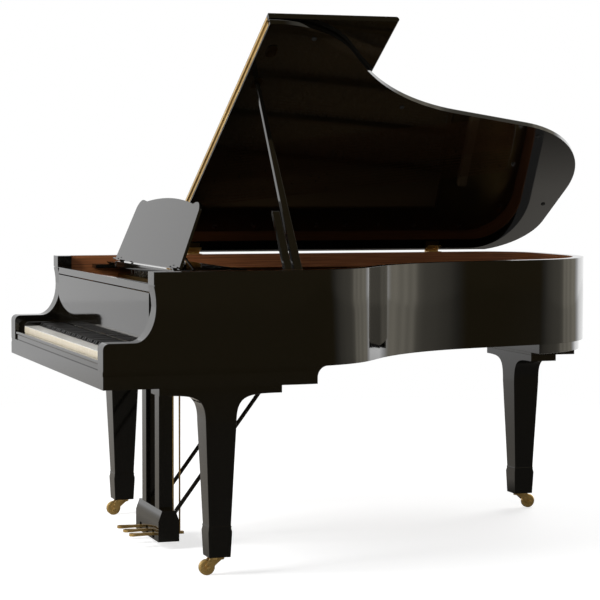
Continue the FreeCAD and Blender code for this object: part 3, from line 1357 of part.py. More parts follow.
def all_parts():
    whites = []
    blacks = []
    parts = {}
    for note in range(NOTES):
        key = black_key(note) if is_black(note) else white_key(note)
        place = note - KEYS_BELOW_JOINTED_COUNT
        if 0 <= place < len(JOINTED_NAMES):
            parts[JOINTED_NAMES[place]] = key
        elif is_black(note):
            blacks.append(key)
        else:
            whites += key.Solids
    parts.update({
        "white_keys": group(whites), "black_keys": group(blacks), "rim": rim(), "inner_rim": inner_rim(),
        "keybed": keybed(), "frame_beams": frame_beams(), "tail_board": tail_board(),
        "soundboard": soundboard(), "bridges": bridges(),
        "plate": plate(), "pin_block": pin_block(), "tuning_pins": tuning_pins(), "strings": strings(),
        "action_frame": action_frame(), "hammers": hammers(), "dampers": dampers(), "key_slip": key_slip(),
        "cheek_blocks": cheek_blocks(), "fallboard": fallboard(), "stretcher": stretcher(),
        "desk_rails": desk_rails(), "desk_shelf": desk_shelf(), "desk_panel": desk_panel(),
        "desk_strut": desk_strut(), "lid": lid(), "lid_flap": lid_flap(),
        "lid_hinge_rim_leaves": group([butt_hinge(y, False) for y in HINGE_YS]),
        "lid_hinge_lid_leaves": group([butt_hinge(y, True) for y in HINGE_YS]),
        "flap_hinge_lid_leaf": piano_hinge(False), "flap_hinge_flap_leaf": piano_hinge(True),
        "lid_bumpers": lid_bumpers(), "prop_cups": prop_cups(), "lid_prop": lid_prop(),
        "short_prop": short_prop(), "prop_bracket": prop_bracket(),
        "lyre_box": lyre_box(), "lyre_posts": lyre_posts(), "lyre_braces": lyre_braces(),
    })
    parts["left_leg"] = front_leg(-FRONT_LEG_X)
    parts["right_leg"] = front_leg(FRONT_LEG_X)
    parts["rear_leg"] = rear_leg()
    spots = {"left": (-FRONT_LEG_X, FRONT_LEG_Y, -CASTER_TRAIL),
             "right": (FRONT_LEG_X, FRONT_LEG_Y, -CASTER_TRAIL),
             "rear": (REAR_LEG_X, REAR_LEG_Y, CASTER_TRAIL)}
    for name, (x, y, trail) in spots.items():
        parts[name + "_caster_fork"] = caster_fork(x, y, trail)
        parts[name + "_caster_wheel"] = caster_wheel(x, y, trail)
    for name, x in zip(("left", "middle", "right"), pedal_xs()):
        parts[name + "_pedal"] = pedal(x)
        parts[name + "_pedal_rod"] = pedal_rod(x)
    return parts


def main():
    """Write every node, moved so that the origin is on the floor under the middle of the whole piano."""
    parts = all_parts()
    whole = group(list(parts.values())).optimalBoundingBox(True, False)
    shift = V(-whole.Center.x, -whole.Center.y, 0)
    print("moved by", round(shift.x, 4), round(shift.y, 4), "height", round(whole.ZMax, 2))
    os.makedirs("parts", exist_ok=True)
    for name, shape in parts.items():
        shape.translate(shift)
        if not shape.isValid():
            print("not valid:", name)
        shape.exportStep("parts/" + name + ".step")
    print(len(parts), "nodes")


main()
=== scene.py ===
# %% [markdown]
# # A black grand piano, dressed over its CAD frame
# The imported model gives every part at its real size. This lesson loads it, sets the camera and a
# pale studio, gives each part its finish, and then adds the fine pieces that a maker would add
# last: rounded edges, key covers, felts, unison strings, pins and bolts. Everything is in metres,
# with the floor at zero height.

# %% Load the frame
import json
import math

import bmesh
import bpy
from mathutils import Matrix, Vector
from mathutils.bvhtree import BVHTree


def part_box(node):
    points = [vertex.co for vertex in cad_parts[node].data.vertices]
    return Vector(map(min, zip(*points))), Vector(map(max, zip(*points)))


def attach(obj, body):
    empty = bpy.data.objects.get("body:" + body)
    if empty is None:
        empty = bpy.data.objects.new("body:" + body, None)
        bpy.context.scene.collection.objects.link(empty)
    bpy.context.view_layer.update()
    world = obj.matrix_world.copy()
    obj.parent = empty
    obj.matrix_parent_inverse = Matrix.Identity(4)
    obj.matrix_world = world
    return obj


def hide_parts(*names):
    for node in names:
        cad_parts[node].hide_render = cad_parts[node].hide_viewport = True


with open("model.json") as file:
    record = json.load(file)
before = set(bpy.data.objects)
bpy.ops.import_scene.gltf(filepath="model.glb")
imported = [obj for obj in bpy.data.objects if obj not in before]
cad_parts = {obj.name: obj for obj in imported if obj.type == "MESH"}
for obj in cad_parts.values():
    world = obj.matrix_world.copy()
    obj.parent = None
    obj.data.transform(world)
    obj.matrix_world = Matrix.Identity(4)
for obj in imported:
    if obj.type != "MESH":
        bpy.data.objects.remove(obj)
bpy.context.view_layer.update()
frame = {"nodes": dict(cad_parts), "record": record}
nodes = frame["nodes"]
record = frame["record"]
slot_of = {part["node"]: part["material_slot"] for part in record["subparts"]}
rides_on = {name: body for body, names in record["behaviour"]["bodies"].items() for name in names}
scene = bpy.context.scene

# %% [markdown]
# ## Camera
# The photograph was taken from the treble side, a little in front of the keyboard and somewhat
# above the rim. A short lens close by would make the front leg tower over the others. A long lens
# from seven metres keeps the lines of the lid nearly parallel, so the length of the lens and the
# distance matter more than the exact spot. The direction is a turn from the -X axis and a tilt.

# %% Place the camera
CAMERA_SPOT = Vector((6.9523, -2.5175, 1.264))
CAMERA_TURN = math.radians(18.78)
CAMERA_TILT = math.radians(3.33)
CAMERA_ROLL = math.radians(0.12)
CAMERA_LENS = 124.26
CAMERA_REACH = 100.0

sight = Vector((-math.cos(CAMERA_TURN) * math.cos(CAMERA_TILT),
                math.sin(CAMERA_TURN) * math.cos(CAMERA_TILT),
                -math.sin(CAMERA_TILT)))


def facing(spot, direction):
    """The place of a camera or a lamp that stands at a spot and looks along a direction."""
    turned = direction.to_track_quat("-Z", "Y").to_matrix().to_4x4()
    return Matrix.Translation(spot) @ turned


camera = bpy.data.objects.new("camera", bpy.data.cameras.new("camera"))
camera.data.lens = CAMERA_LENS
camera.data.clip_end = CAMERA_REACH
camera.matrix_world = facing(CAMERA_SPOT, sight) @ Matrix.Rotation(CAMERA_ROLL, 4, "Z")
scene.collection.objects.link(camera)
scene.camera = camera
scene.view_settings.view_transform = "Standard"
print("camera looks along", [round(v, 3) for v in sight])

# %% [markdown]
# ## Shader nodes
# The studio, the floor and the finishes are all small node trees. Each node is made, set and wired
# in the same three steps, so one helper does all three. It takes a value for a socket or another
# node's output, and wires the second kind.

# %% Helpers for shader nodes
WHITE = (1, 1, 1, 1)


def shader_node(tree, kind, inputs=None, operation=None):
    """A new shader node. An input that is a socket is linked, any other is set as a value."""
    made = tree.nodes.new("ShaderNode" + kind)
    if operation:
        made.operation = operation
    for place, value in (inputs or {}).items():
        if isinstance(value, bpy.types.NodeSocket):
            tree.links.new(value, made.inputs[place])
        else:
            made.inputs[place].default_value = value
    return made


def either(tree, choice, first, second):
    """Mix two shaders by a 0..1 socket."""
    return shader_node(tree, "MixShader", {0: choice, 1: first, 2: second}).outputs[0]


def ramp_stops(ramp, stops):
    """Set a colour ramp from (place, colour) pairs."""
    while len(ramp.elements) > 1:
        ramp.elements.remove(ramp.elements[-1])
    for number, (place, colour) in enumerate(stops):
        element = ramp.elements.new(place) if number else ramp.elements[0]
        element.position = place
        element.color = (*colour, 1)


def empty_tree(owner):
    """The node tree of a world or a material, with nothing in it."""
    owner.use_nodes = True
    owner.node_tree.nodes.clear()
    return owner.node_tree


print("node helpers ready")

# %% [markdown]
# ## Studio
# Black lacquer has almost no colour of its own: what we see in it is the room. So the studio is
# drawn as bands of light and dark round the horizon, which only the reflections read. The camera
# itself sees plain white. A picture of a room could do the same, but a colour ramp over the turn of
# a direction is easier to tune.

# %% Bands of light round the horizon
WARM_DARK = (1.0, 0.76, 0.36)
WARM_PALE = (1.0, 0.93, 0.77)
NEUTRAL = (1.0, 1.0, 1.0)
# Direction in degrees from +X towards +Y, how bright the studio is there, and its tint
STUDIO_BANDS = (
    (0, 0.175, WARM_DARK), (40, 0.175, WARM_DARK), (54, 0.17, WARM_DARK),
    (59, 0.28, WARM_PALE), (64, 0.50, WARM_PALE), (72, 0.62, WARM_PALE),
    (80, 0.62, WARM_PALE), (85, 0.80, WARM_PALE), (88, 1.5, WARM_PALE),
    (92, 1.1, WARM_PALE), (95, 1.4, WARM_PALE), (99, 1.0, WARM_PALE),
    (104, 1.15, WARM_PALE), (109, 0.9, WARM_PALE), (114, 1.5, NEUTRAL),
    (121, 2.6, NEUTRAL), (135, 1.8, NEUTRAL), (155, 0.9, NEUTRAL),
    (180, 0.85, NEUTRAL), (205, 0.98, NEUTRAL), (240, 0.75, NEUTRAL),
    (290, 0.3, NEUTRAL), (330, 0.15, WARM_DARK), (360, 0.175, WARM_DARK))
STUDIO_PEAK = 3.0
FULL_TURN = 360


def studio_bands(tree, direction):
    """The studio's colour, over its peak, for a direction's turn about the vertical."""
    split = shader_node(tree, "SeparateXYZ", {0: direction}).outputs
    angle = shader_node(tree, "Math", {0: split["Y"], 1: split["X"]}, "ARCTAN2").outputs[0]
    turns = shader_node(tree, "Math", {0: angle, 1: 1 / math.tau}, "MULTIPLY").outputs[0]
    wrapped = shader_node(tree, "Math", {0: turns, 1: 0, 2: 1}, "WRAP").outputs[0]
    bands = shader_node(tree, "ValToRGB", {0: wrapped})
    ramp_stops(bands.color_ramp, [(turn / FULL_TURN, [bright * c / STUDIO_PEAK for c in tint])
                                  for turn, bright, tint in STUDIO_BANDS])
    return bands.outputs[0]


print("studio bands:", len(STUDIO_BANDS))

# %% World: bands in reflections, soft fill on matt surfaces, white behind
STUDIO_FILL = 0.24

world = bpy.data.worlds.new("studio")
scene.world = world
world_tree = empty_tree(world)
ray = shader_node(world_tree, "LightPath").outputs
bands = studio_bands(world_tree, shader_node(world_tree, "TexCoord").outputs["Generated"])
bright = {"Color": bands, "Strength": STUDIO_PEAK}
soft = {"Color": WHITE, "Strength": STUDIO_FILL}
studio = shader_node(world_tree, "Background", bright).outputs[0]
fill = shader_node(world_tree, "Background", soft).outputs[0]
backdrop = shader_node(world_tree, "Background", {"Color": WHITE}).outputs[0]
not_seen = either(world_tree, ray["Is Glossy Ray"], fill, studio)
surroundings = either(world_tree, ray["Is Camera Ray"], not_seen, backdrop)
shader_node(world_tree, "OutputWorld", {0: surroundings})
print("fill level:", STUDIO_FILL)

# %% [markdown]
# ## Lamps
# Three large soft lamps light what isn't black: the key tops, the wood and the brass. One bright sun
# would be simpler, but its hard shadows don't fit a studio. The raised lid mirrors the strings and
# the plate, so the front lamp stands far out before the keys: its light reaches the keys, and the
# desk shades the plate. Lamps would show as white squares in the lacquer, so reflections don't see
# them.

# %% Lamps
# Name, spot, side of the square in metres, and power in watts
LAMPS = (("back_left_lamp", Vector((-3.0, 3.2, 3.4)), 3.0, 110),
         ("front_lamp", Vector((0.6, -4.6, 2.7)), 2.4, 230),
         ("treble_lamp", Vector((5.0, -0.8, 3.0)), 2.4, 16))
LAMP_AIM = Vector((0, -0.5, 0.75))

for name, spot, size, power in LAMPS:
    lamp = bpy.data.lights.new(name, "AREA")
    lamp.size = size
    lamp.energy = power
    lamp_object = bpy.data.objects.new(name, lamp)
    lamp_object.matrix_world = facing(spot, LAMP_AIM - spot)
    lamp_object.visible_glossy = False
    scene.collection.objects.link(lamp_object)
print("lamps:", len(LAMPS))

# %% [markdown]
# ## Floor
# A pale floor that keeps the piano's shadow near it and runs out to plain white, so that no horizon
# shows. In reflections it carries on the studio's bands: without that the lacquer would show a hard
# line where the floor ends. Close to the piano the floor glows for reflections only, with painted
# shade and painted light: dim on the treble side and brighter towards the player and the spine.
# Light Path tells the shader which kind of ray is asking, so one material can do all of this.

# %% Lay the floor
FLOOR_HALF = 14.0

floor_mesh = bmesh.new()
bmesh.ops.create_grid(floor_mesh, x_segments=1, y_segments=1, size=FLOOR_HALF)
floor_data = bpy.data.meshes.new("floor")
floor_mesh.to_mesh(floor_data)
floor_mesh.free()
floor = bpy.data.objects.new("floor", floor_data)
scene.collection.objects.link(floor)
floor_material = bpy.data.materials.new("pale_floor")
floor_data.materials.append(floor_material)
print("floor reaches", FLOOR_HALF, "m each way")

# %% What the camera sees of the floor
FLOOR_ALBEDO = 0.62
FLOOR_LIFT = 0.70
FLOOR_NEAR = 1.6
FLOOR_FAR = 4.5

floor_tree = empty_tree(floor_material)
ray = shader_node(floor_tree, "LightPath").outputs
floor_spot = shader_node(floor_tree, "TexCoord").outputs["Object"]
reach = shader_node(floor_tree, "VectorMath", {0: floor_spot}, "LENGTH").outputs["Value"]


def fade_out(far):
    """0 near the piano, 1 from this distance on."""
    ends = {0: reach, "From Min": FLOOR_NEAR, "From Max": far}
    return shader_node(floor_tree, "MapRange", ends).outputs[0]


albedo = (FLOOR_ALBEDO, FLOOR_ALBEDO, FLOOR_ALBEDO, 1)
matt = shader_node(floor_tree, "BsdfDiffuse", {"Color": albedo}).outputs[0]
glow = shader_node(floor_tree, "Emission", {"Strength": FLOOR_LIFT}).outputs[0]
lit = shader_node(floor_tree, "AddShader", {0: matt, 1: glow}).outputs[0]
white = shader_node(floor_tree, "Emission", {"Strength": 1}).outputs[0]
seen_floor = either(floor_tree, fade_out(FLOOR_FAR), lit, white)
print("floor turns white between", FLOOR_NEAR, "and", FLOOR_FAR, "m")

# %% What the lacquer mirrors of the floor
FLOOR_MIRROR = 0.85
FLOOR_MIRROR_FAR = 8.0
WARM_FLOOR = (1.0, 0.93, 0.82, 1)
FLOOR_PAINTED_SHADE = 0.10
FLOOR_PAINTED_LIGHT = 0.42
# Where the painted light on the mirrored floor turns to painted shade, by the lesser of x and y
PAINTED_LIGHT_UP_TO = -0.95
PAINTED_SHADE_FROM = -0.6

bands = studio_bands(floor_tree, floor_spot)
far_floor = {"Color": bands, "Strength": STUDIO_PEAK * FLOOR_MIRROR}
split = shader_node(floor_tree, "SeparateXYZ", {0: floor_spot}).outputs
lesser = shader_node(floor_tree, "Math", {0: split["X"], 1: split["Y"]}, "MINIMUM").outputs[0]
# Painted shade and painted light: the floor glows dimmer on the treble side and brighter towards the
# player and the spine, seen only in reflections
lit_to_shaded = {0: lesser, "From Min": PAINTED_LIGHT_UP_TO, "From Max": PAINTED_SHADE_FROM,
                "To Min": FLOOR_PAINTED_LIGHT, "To Max": FLOOR_PAINTED_SHADE}
painted_floor_light = shader_node(floor_tree, "MapRange", lit_to_shaded).outputs[0]
near_floor = {"Color": WARM_FLOOR, "Strength": painted_floor_light}
mirrored_floor = either(floor_tree, fade_out(FLOOR_MIRROR_FAR),
                        shader_node(floor_tree, "Emission", near_floor).outputs[0],
                        shader_node(floor_tree, "Emission", far_floor).outputs[0])
not_seen = either(floor_tree, ray["Is Glossy Ray"], matt, mirrored_floor)
surface = either(floor_tree, ray["Is Camera Ray"], not_seen, seen_floor)
shader_node(floor_tree, "OutputMaterial", {"Surface": surface})
print("mirrored floor levels:", FLOOR_PAINTED_LIGHT, "to", FLOOR_PAINTED_SHADE)

# %% [markdown]
# ## Finishes
# Every finish starts from one Principled shader. A small helper makes noise in Object coordinates,
# stretched along the axes that the grain needs, so the same few lines give wood streaks, casting
# grain or brass smears. Image textures would need unwrapping, and noise needs none.

# %% Helper: a new finish
FINISHES = {}


def finish(name, colour, roughness, metallic=0.0):
    """A new material, kept by its name; returns its tree and its Principled shader."""
    material = bpy.data.materials.new(name)
    material.use_nodes = True
    FINISHES[name] = material
    shader = material.node_tree.nodes["Principled BSDF"]
    shader.inputs["Base Color"].default_value = (*colour, 1)
    shader.inputs["Roughness"].default_value = roughness
    shader.inputs["Metallic"].default_value = metallic
    return material.node_tree, shader


print("finishes so far:", len(FINISHES))

# %% Helpers: patterns for a finish
# The part of the 0..1 range where most of the noise lies
NOISE_LOW = 0.3
NOISE_HIGH = 0.7


def noise(tree, stretch, detail, turn=(0, 0, 0), distortion=0.0):
    """Noise over Object coordinates, with its own frequency per metre along each axis."""
    coords = shader_node(tree, "TexCoord").outputs["Object"]
    placing = {0: coords, "Scale": stretch, "Rotation": turn}
    placed = shader_node(tree, "Mapping", placing).outputs[0]
    settings = {0: placed, "Scale": 1, "Detail": detail, "Distortion": distortion}
    return shader_node(tree, "TexNoise", settings).outputs[0]


def spread(tree, pattern, low, high, stops):
    """Map a 0..1 pattern to colours: stops are (share, colour) between the low and high place."""
    ramp = shader_node(tree, "ValToRGB", {0: pattern})
    ramp_stops(ramp.color_ramp, [(low + (high - low) * share, colour) for share, colour in stops])
    return ramp.outputs[0]


def level(tree, pattern, low, high):
    """Map the middle of a 0..1 pattern to a range of numbers."""
    ends = {0: pattern, "From Min": NOISE_LOW, "From Max": NOISE_HIGH, "To Min": low, "To Max": high}
    return shader_node(tree, "MapRange", ends).outputs[0]


def relief(tree, shader, height, depth):
    """Bump from a pattern; depth is the real one in metres."""
    bump = shader_node(tree, "Bump", {"Height": height, "Distance": depth, "Strength": 1})
    tree.links.new(bump.outputs[0], shader.inputs["Normal"])


print("noise is read between", NOISE_LOW, "and", NOISE_HIGH)

# %% [markdown]
# ## Lacquer
# The case is polished black lacquer over wood. Polished is not perfect: the buffing leaves wide
# patches that are a little less smooth, and the film has a very fine ripple. Both are only a few
# thousandths of a millimetre, but they soften the mirror just enough to read as a surface polished
# by hand rather than glass.

# %% Black lacquer
LACQUER_BLACK = (0.0042, 0.0036, 0.0026)
LACQUER_ROUGHNESS = 0.05
BUFFED_SMOOTH = 0.03
BUFFED_DULL = 0.075
BUFFED_PATCHES = [7] * 3
RIPPLES = [260] * 3
RIPPLE_DEPTH = 0.000003

film, lacquer = finish("black_lacquer", LACQUER_BLACK, LACQUER_ROUGHNESS)
buffing = level(film, noise(film, BUFFED_PATCHES, detail=4), BUFFED_SMOOTH, BUFFED_DULL)
film.links.new(buffing, lacquer.inputs["Roughness"])
relief(film, lacquer, noise(film, RIPPLES, detail=2), RIPPLE_DEPTH)
print("lacquer roughness:", BUFFED_SMOOTH, "to", BUFFED_DULL)

# %% [markdown]
# ## Woods
# The inner rim is faced with mahogany whose grain runs along the bent plies, so its noise is
# stretched very fine in height. Spruce shows straight close lines across the soundboard, maple is
# tight and pale, and so are the sticks of the keys. Streaks that waver a little keep the wood from
# looking printed, and finer pores give it a relief.

# %% Woods
WOOD_LOW = 0.25
WOOD_HIGH = 0.75
GRAIN_WAVER = 0.4
PORES_PER_STREAK = 3
PORE_DEPTH = 0.00004
PORE_SMOOTH = 0.85
PORE_DULL = 1.25
BOARD_TURN = (0, 0, math.radians(35))
STRAIGHT = (0, 0, 0)
# Name, colours from dark to pale streaks, streaks per metre along x, y and z, turn, and roughness
WOODS = (
    ("mahogany", ((0, (0.11, 0.038, 0.014)), (0.5, (0.28, 0.098, 0.034)), (1, (0.42, 0.165, 0.060))),
     (5, 5, 260), STRAIGHT, 0.42),
    ("spruce", ((0, (0.36, 0.22, 0.10)), (1, (0.46, 0.30, 0.145))), (240, 2, 30), BOARD_TURN, 0.45),
    ("maple", ((0, (0.40, 0.25, 0.12)), (1, (0.58, 0.41, 0.23))), (8, 160, 160), STRAIGHT, 0.45),
    ("key_wood", ((0, (0.48, 0.33, 0.18)), (1, (0.66, 0.50, 0.31))), (160, 8, 160), STRAIGHT, 0.45))


def streaked_wood(name, stops, streaks, turn, roughness):
    """A wood with streaks of colour and fine pores."""
    tree, shader = finish(name, stops[0][1], roughness)
    grain = noise(tree, streaks, detail=6, turn=turn, distortion=GRAIN_WAVER)
    tree.links.new(spread(tree, grain, WOOD_LOW, WOOD_HIGH, stops), shader.inputs["Base Color"])
    pores = noise(tree, [PORES_PER_STREAK * s for s in streaks], detail=3, turn=turn)
    sheen = level(tree, pores, roughness * PORE_SMOOTH, roughness * PORE_DULL)
    tree.links.new(sheen, shader.inputs["Roughness"])
    relief(tree, shader, pores, PORE_DEPTH)


for wood in WOODS:
    streaked_wood(*wood)
print("woods:", [wood[0] for wood in WOODS])

# %% [markdown]
# ## Metals
# The plate is cast iron sprayed with bronze powder, so it has a fine sandy relief. Brass is
# lacquered and worn: darker in patches, smoother where it is rubbed. The same patches drive colour
# and roughness, because on the real metal it is the same wear.

# %% Metals
METAL_LOW = 0.3
METAL_HIGH = 0.75
RUBBED = 0.8
TARNISHED = 1.5
CASTING_GRAIN = [700] * 3
# Name, bright and dark colour, roughness, patches per metre, depth of casting grain, share of metal
METALS = (
    ("gold_iron", (0.33, 0.22, 0.08), (0.28, 0.185, 0.065), 0.44, 9, 0.00002, 1.0),
    ("steel", (0.60, 0.59, 0.56), (0.44, 0.43, 0.41), 0.25, 90, 0, 1.0),
    ("copper", (0.66, 0.34, 0.18), (0.48, 0.23, 0.11), 0.3, 120, 0, 1.0),
    ("brass", (0.76, 0.52, 0.19), (0.52, 0.33, 0.11), 0.26, 14, 0, 0.72),
    # Painted shade: a very dark brass for the stick cups under the lid
    ("shaded_dark_brass", (0.085, 0.062, 0.032), (0.045, 0.033, 0.018), 0.38, 30, 0, 1.0))


def worn_metal(name, bright, dark, roughness, patches, depth, metallic):
    """A metal that is darker and duller in patches."""
    tree, shader = finish(name, bright, roughness, metallic)
    wear = noise(tree, [patches] * 3, detail=5)
    colours = spread(tree, wear, METAL_LOW, METAL_HIGH, ((0, dark), (1, bright)))
    tree.links.new(colours, shader.inputs["Base Color"])
    sheen = level(tree, wear, roughness * TARNISHED, roughness * RUBBED)
    tree.links.new(sheen, shader.inputs["Roughness"])
    if depth:
        relief(tree, shader, noise(tree, CASTING_GRAIN, detail=2), depth)


for metal in METALS:
    worn_metal(*metal)
print("metals:", [metal[0] for metal in METALS])

# %% [markdown]
# ## Key covers, felts and other matt finishes
# Key covers are smooth and pale with a slight mottle, ebony is dull from the fingers, and felts and
# rubber have almost no gloss at all. They differ only in numbers, so a table and one function make
# them, and the noise that mottles the colour also gives the relief.

# %% Key covers, felts and rubber
USUAL_GLOSS = 0.5
EBONY_GLOSS = 0.25
# Name, pale and dark colour, roughness, mottles per metre, depth of the relief, and gloss
MATT_FINISHES = (
    ("ivory", (0.86, 0.84, 0.78), (0.83, 0.80, 0.73), 0.18, 30, 0.000005, USUAL_GLOSS),
    ("ebony", (0.012, 0.011, 0.010), (0.006, 0.006, 0.006), 0.30, 120, 0.00002, EBONY_GLOSS),
    ("key_front", (0.62, 0.55, 0.42), (0.56, 0.49, 0.36), 0.3, 60, 0.00001, USUAL_GLOSS),
    ("damper_black", (0.012, 0.012, 0.012), (0.007, 0.007, 0.007), 0.4, 200, 0.00002, USUAL_GLOSS),
    ("felt", (0.72, 0.69, 0.62), (0.60, 0.57, 0.50), 0.95, 900, 0.0002, USUAL_GLOSS),
    ("rubber", (0.03, 0.03, 0.03), (0.015, 0.015, 0.015), 0.75, 150, 0.00004, USUAL_GLOSS))


def mottled(name, pale, dark, roughness, mottles, depth, gloss):
    """A plain finish with a slight mottle and a relief of the same pattern."""
    tree, shader = finish(name, pale, roughness)
    shader.inputs["Specular IOR Level"].default_value = gloss
    mottle = noise(tree, [mottles] * 3, detail=4)
    colours = spread(tree, mottle, NOISE_LOW, NOISE_HIGH, ((0, dark), (1, pale)))
    tree.links.new(colours, shader.inputs["Base Color"])
    relief(tree, shader, mottle, depth)


for matt_finish in MATT_FINISHES:
    mottled(*matt_finish)
print("matt finishes:", [matt_finish[0] for matt_finish in MATT_FINISHES])

# %% [markdown]
# ## Dressing the CAD parts
# Each CAD part names the material slot that it takes in the record. The finishes above carry the
# same names, so dressing the whole piano is one loop, and the parts that are drawn again below can
# ask for their finish in the same way.

# %% Give each CAD node its finish
for name, node in nodes.items():
    node.data.materials.clear()
    node.data.materials.append(FINISHES[slot_of[name]])
print("dressed nodes:", len(slot_of))

# %% [markdown]
# ## Rounded edges
# No sawn or cast edge is perfectly sharp: sanding takes off about a millimetre, and that thin round
# is what catches the light along every lacquered edge. The CAD solids come as loose triangles, so
# each copy is welded, its flat triangles are joined to whole faces, and then only the sharp edges
# are bevelled. A Weighted Normal modifier lets the big flat faces keep a flat shine up to the round.

# %% Helpers: copy and round off
WELD = 0.00002
FLAT = math.radians(0.5)
SHARP = math.radians(28)
FINE_STEPS = 2
WIDE_STEPS = 3


def copy_of(name):
    """A welded bmesh copy of a CAD node, with flat triangles joined to whole faces."""
    bm = bmesh.new()
    bm.from_mesh(nodes[name].data)
    bmesh.ops.remove_doubles(bm, verts=bm.verts, dist=WELD)
    bmesh.ops.dissolve_limit(bm, angle_limit=FLAT, verts=bm.verts, edges=bm.edges)
    return bm


def is_sharp(edge):
    """Whether two faces meet at this edge with a clear crease."""
    return len(edge.link_faces) == 2 and edge.calc_face_angle(0) > SHARP


def sharp_edges(bm):
    """All edges with a clear crease."""
    return [edge for edge in bm.edges if is_sharp(edge)]


def round_off(bm, edges, width, steps=FINE_STEPS):
    """Round these edges with a bevel."""
    bmesh.ops.bevel(bm, geom=edges, offset=width, offset_type="OFFSET", affect="EDGES",
                    segments=steps, profile=0.5, material=-1, clamp_overlap=True)


print("weld within", WELD, "m")

# %% Helper: make a bmesh a piece of the piano
def settle(bm, name, slot, body, stands_for=(), others=(), look=None):
    """Make a bmesh a smooth shaded piece that rides on a body.

    look is its finish where that isn't the slot's own, and others are its further finishes.
    """
    for face in bm.faces:
        face.smooth = True
    for edge in bm.edges:
        edge.smooth = not is_sharp(edge)
    mesh = bpy.data.meshes.new(name)
    bm.to_mesh(mesh)
    bm.free()
    for finish_name in (look or slot, *others):
        mesh.materials.append(FINISHES[finish_name])
    piece = bpy.data.objects.new(name, mesh)
    scene.collection.objects.link(piece)
    weighted = piece.modifiers.new("weighted_normal", "WEIGHTED_NORMAL")
    weighted.keep_sharp = True
    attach(piece, body)
    if stands_for:
        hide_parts(*stands_for)


print("slots in the record:", sorted(set(slot_of.values())))

# %% Round the edges of the plain parts
# Node and the width of its rounded edge
EDGE_ROUND = {
    "rim": 0.0016, "inner_rim": 0.0006, "keybed": 0.0012, "key_slip": 0.001,
    "cheek_blocks": 0.0015, "fallboard": 0.0014, "stretcher": 0.0012, "tail_board": 0.0012,
    "frame_beams": 0.0015, "lid": 0.0012, "lid_flap": 0.0012, "lid_prop": 0.0015,
    "short_prop": 0.0012, "prop_bracket": 0.0004, "lid_bumpers": 0.0005, "prop_cups": 0.0004,
    "lid_hinge_rim_leaves": 0.0003, "lid_hinge_lid_leaves": 0.0003,
    "flap_hinge_lid_leaf": 0.0003, "flap_hinge_flap_leaf": 0.0003,
    "desk_rails": 0.0006, "desk_shelf": 0.001, "desk_panel": 0.0012, "desk_strut": 0.0006,
    "left_leg": 0.0015, "right_leg": 0.0015, "rear_leg": 0.0015,
    "left_caster_fork": 0.0022, "right_caster_fork": 0.0022, "rear_caster_fork": 0.0022,
    "left_caster_wheel": 0.0008, "right_caster_wheel": 0.0008, "rear_caster_wheel": 0.0008,
    "lyre_box": 0.0015, "lyre_posts": 0.0015, "lyre_braces": 0.0005,
    "left_pedal": 0.0022, "middle_pedal": 0.0022, "right_pedal": 0.0022,
    "left_pedal_rod": 0.0004, "middle_pedal_rod": 0.0004, "right_pedal_rod": 0.0004,
    "plate": 0.002, "bridges": 0.0008, "pin_block": 0.001,
}
WIDE_ROUND = 0.002
# The stick cups under the lid take a very dark brass, as painted shade under the lid
OWN_LOOK = {"prop_cups": "shaded_dark_brass"}

for name, width in EDGE_ROUND.items():
    rounded = copy_of(name)
    round_off(rounded, sharp_edges(rounded), width,
              WIDE_STEPS if width > WIDE_ROUND else FINE_STEPS)
    settle(rounded, name + "_rounded", slot_of[name], rides_on[name], stands_for=[name],
           look=OWN_LOOK.get(name))
print("rounded parts:", len(EDGE_ROUND))

# %% [markdown]
# ## White keys
# A white key is a stick of pale wood with a thin cover on top that overhangs the front by about a
# millimetre, and a separate plate on the front. Bevelling the CAD blocks would leave no line between
# cover and stick, so each key is drawn again from cubes: head and tail, each with a stick and a
# cover whose edges are rounded.

# %% Helpers for keys
HAIR = 0.0001
ROUND_TO = 5


def block(bm, low, high, finish_index=0):
    """A plain box between two corners; returns its edges."""
    place = Matrix.Translation((low + high) / 2) @ Matrix.Diagonal((*(high - low), 1))
    corners = bmesh.ops.create_cube(bm, size=1, matrix=place)["verts"]
    for face in {face for corner in corners for face in corner.link_faces}:
        face.material_index = finish_index
    return list({edge for corner in corners for edge in corner.link_edges})


def widths_at(mesh, y):
    """The (left, right) of every key that has corners at this depth."""
    xs = sorted({round(v.co.x, ROUND_TO) for v in mesh.vertices if abs(v.co.y - y) < HAIR})
    return list(zip(xs[0::2], xs[1::2]))


# %% Cover the white keys
KEY_COVER = 0.0022
KEY_LIP = 0.0009
KEY_ROUND = 0.0007
FACES_PLAYER = -0.9
FRONT = 1
STICK = 2
WHITE_NODES = ("white_keys", "key_c", "key_d", "key_e", "key_f")

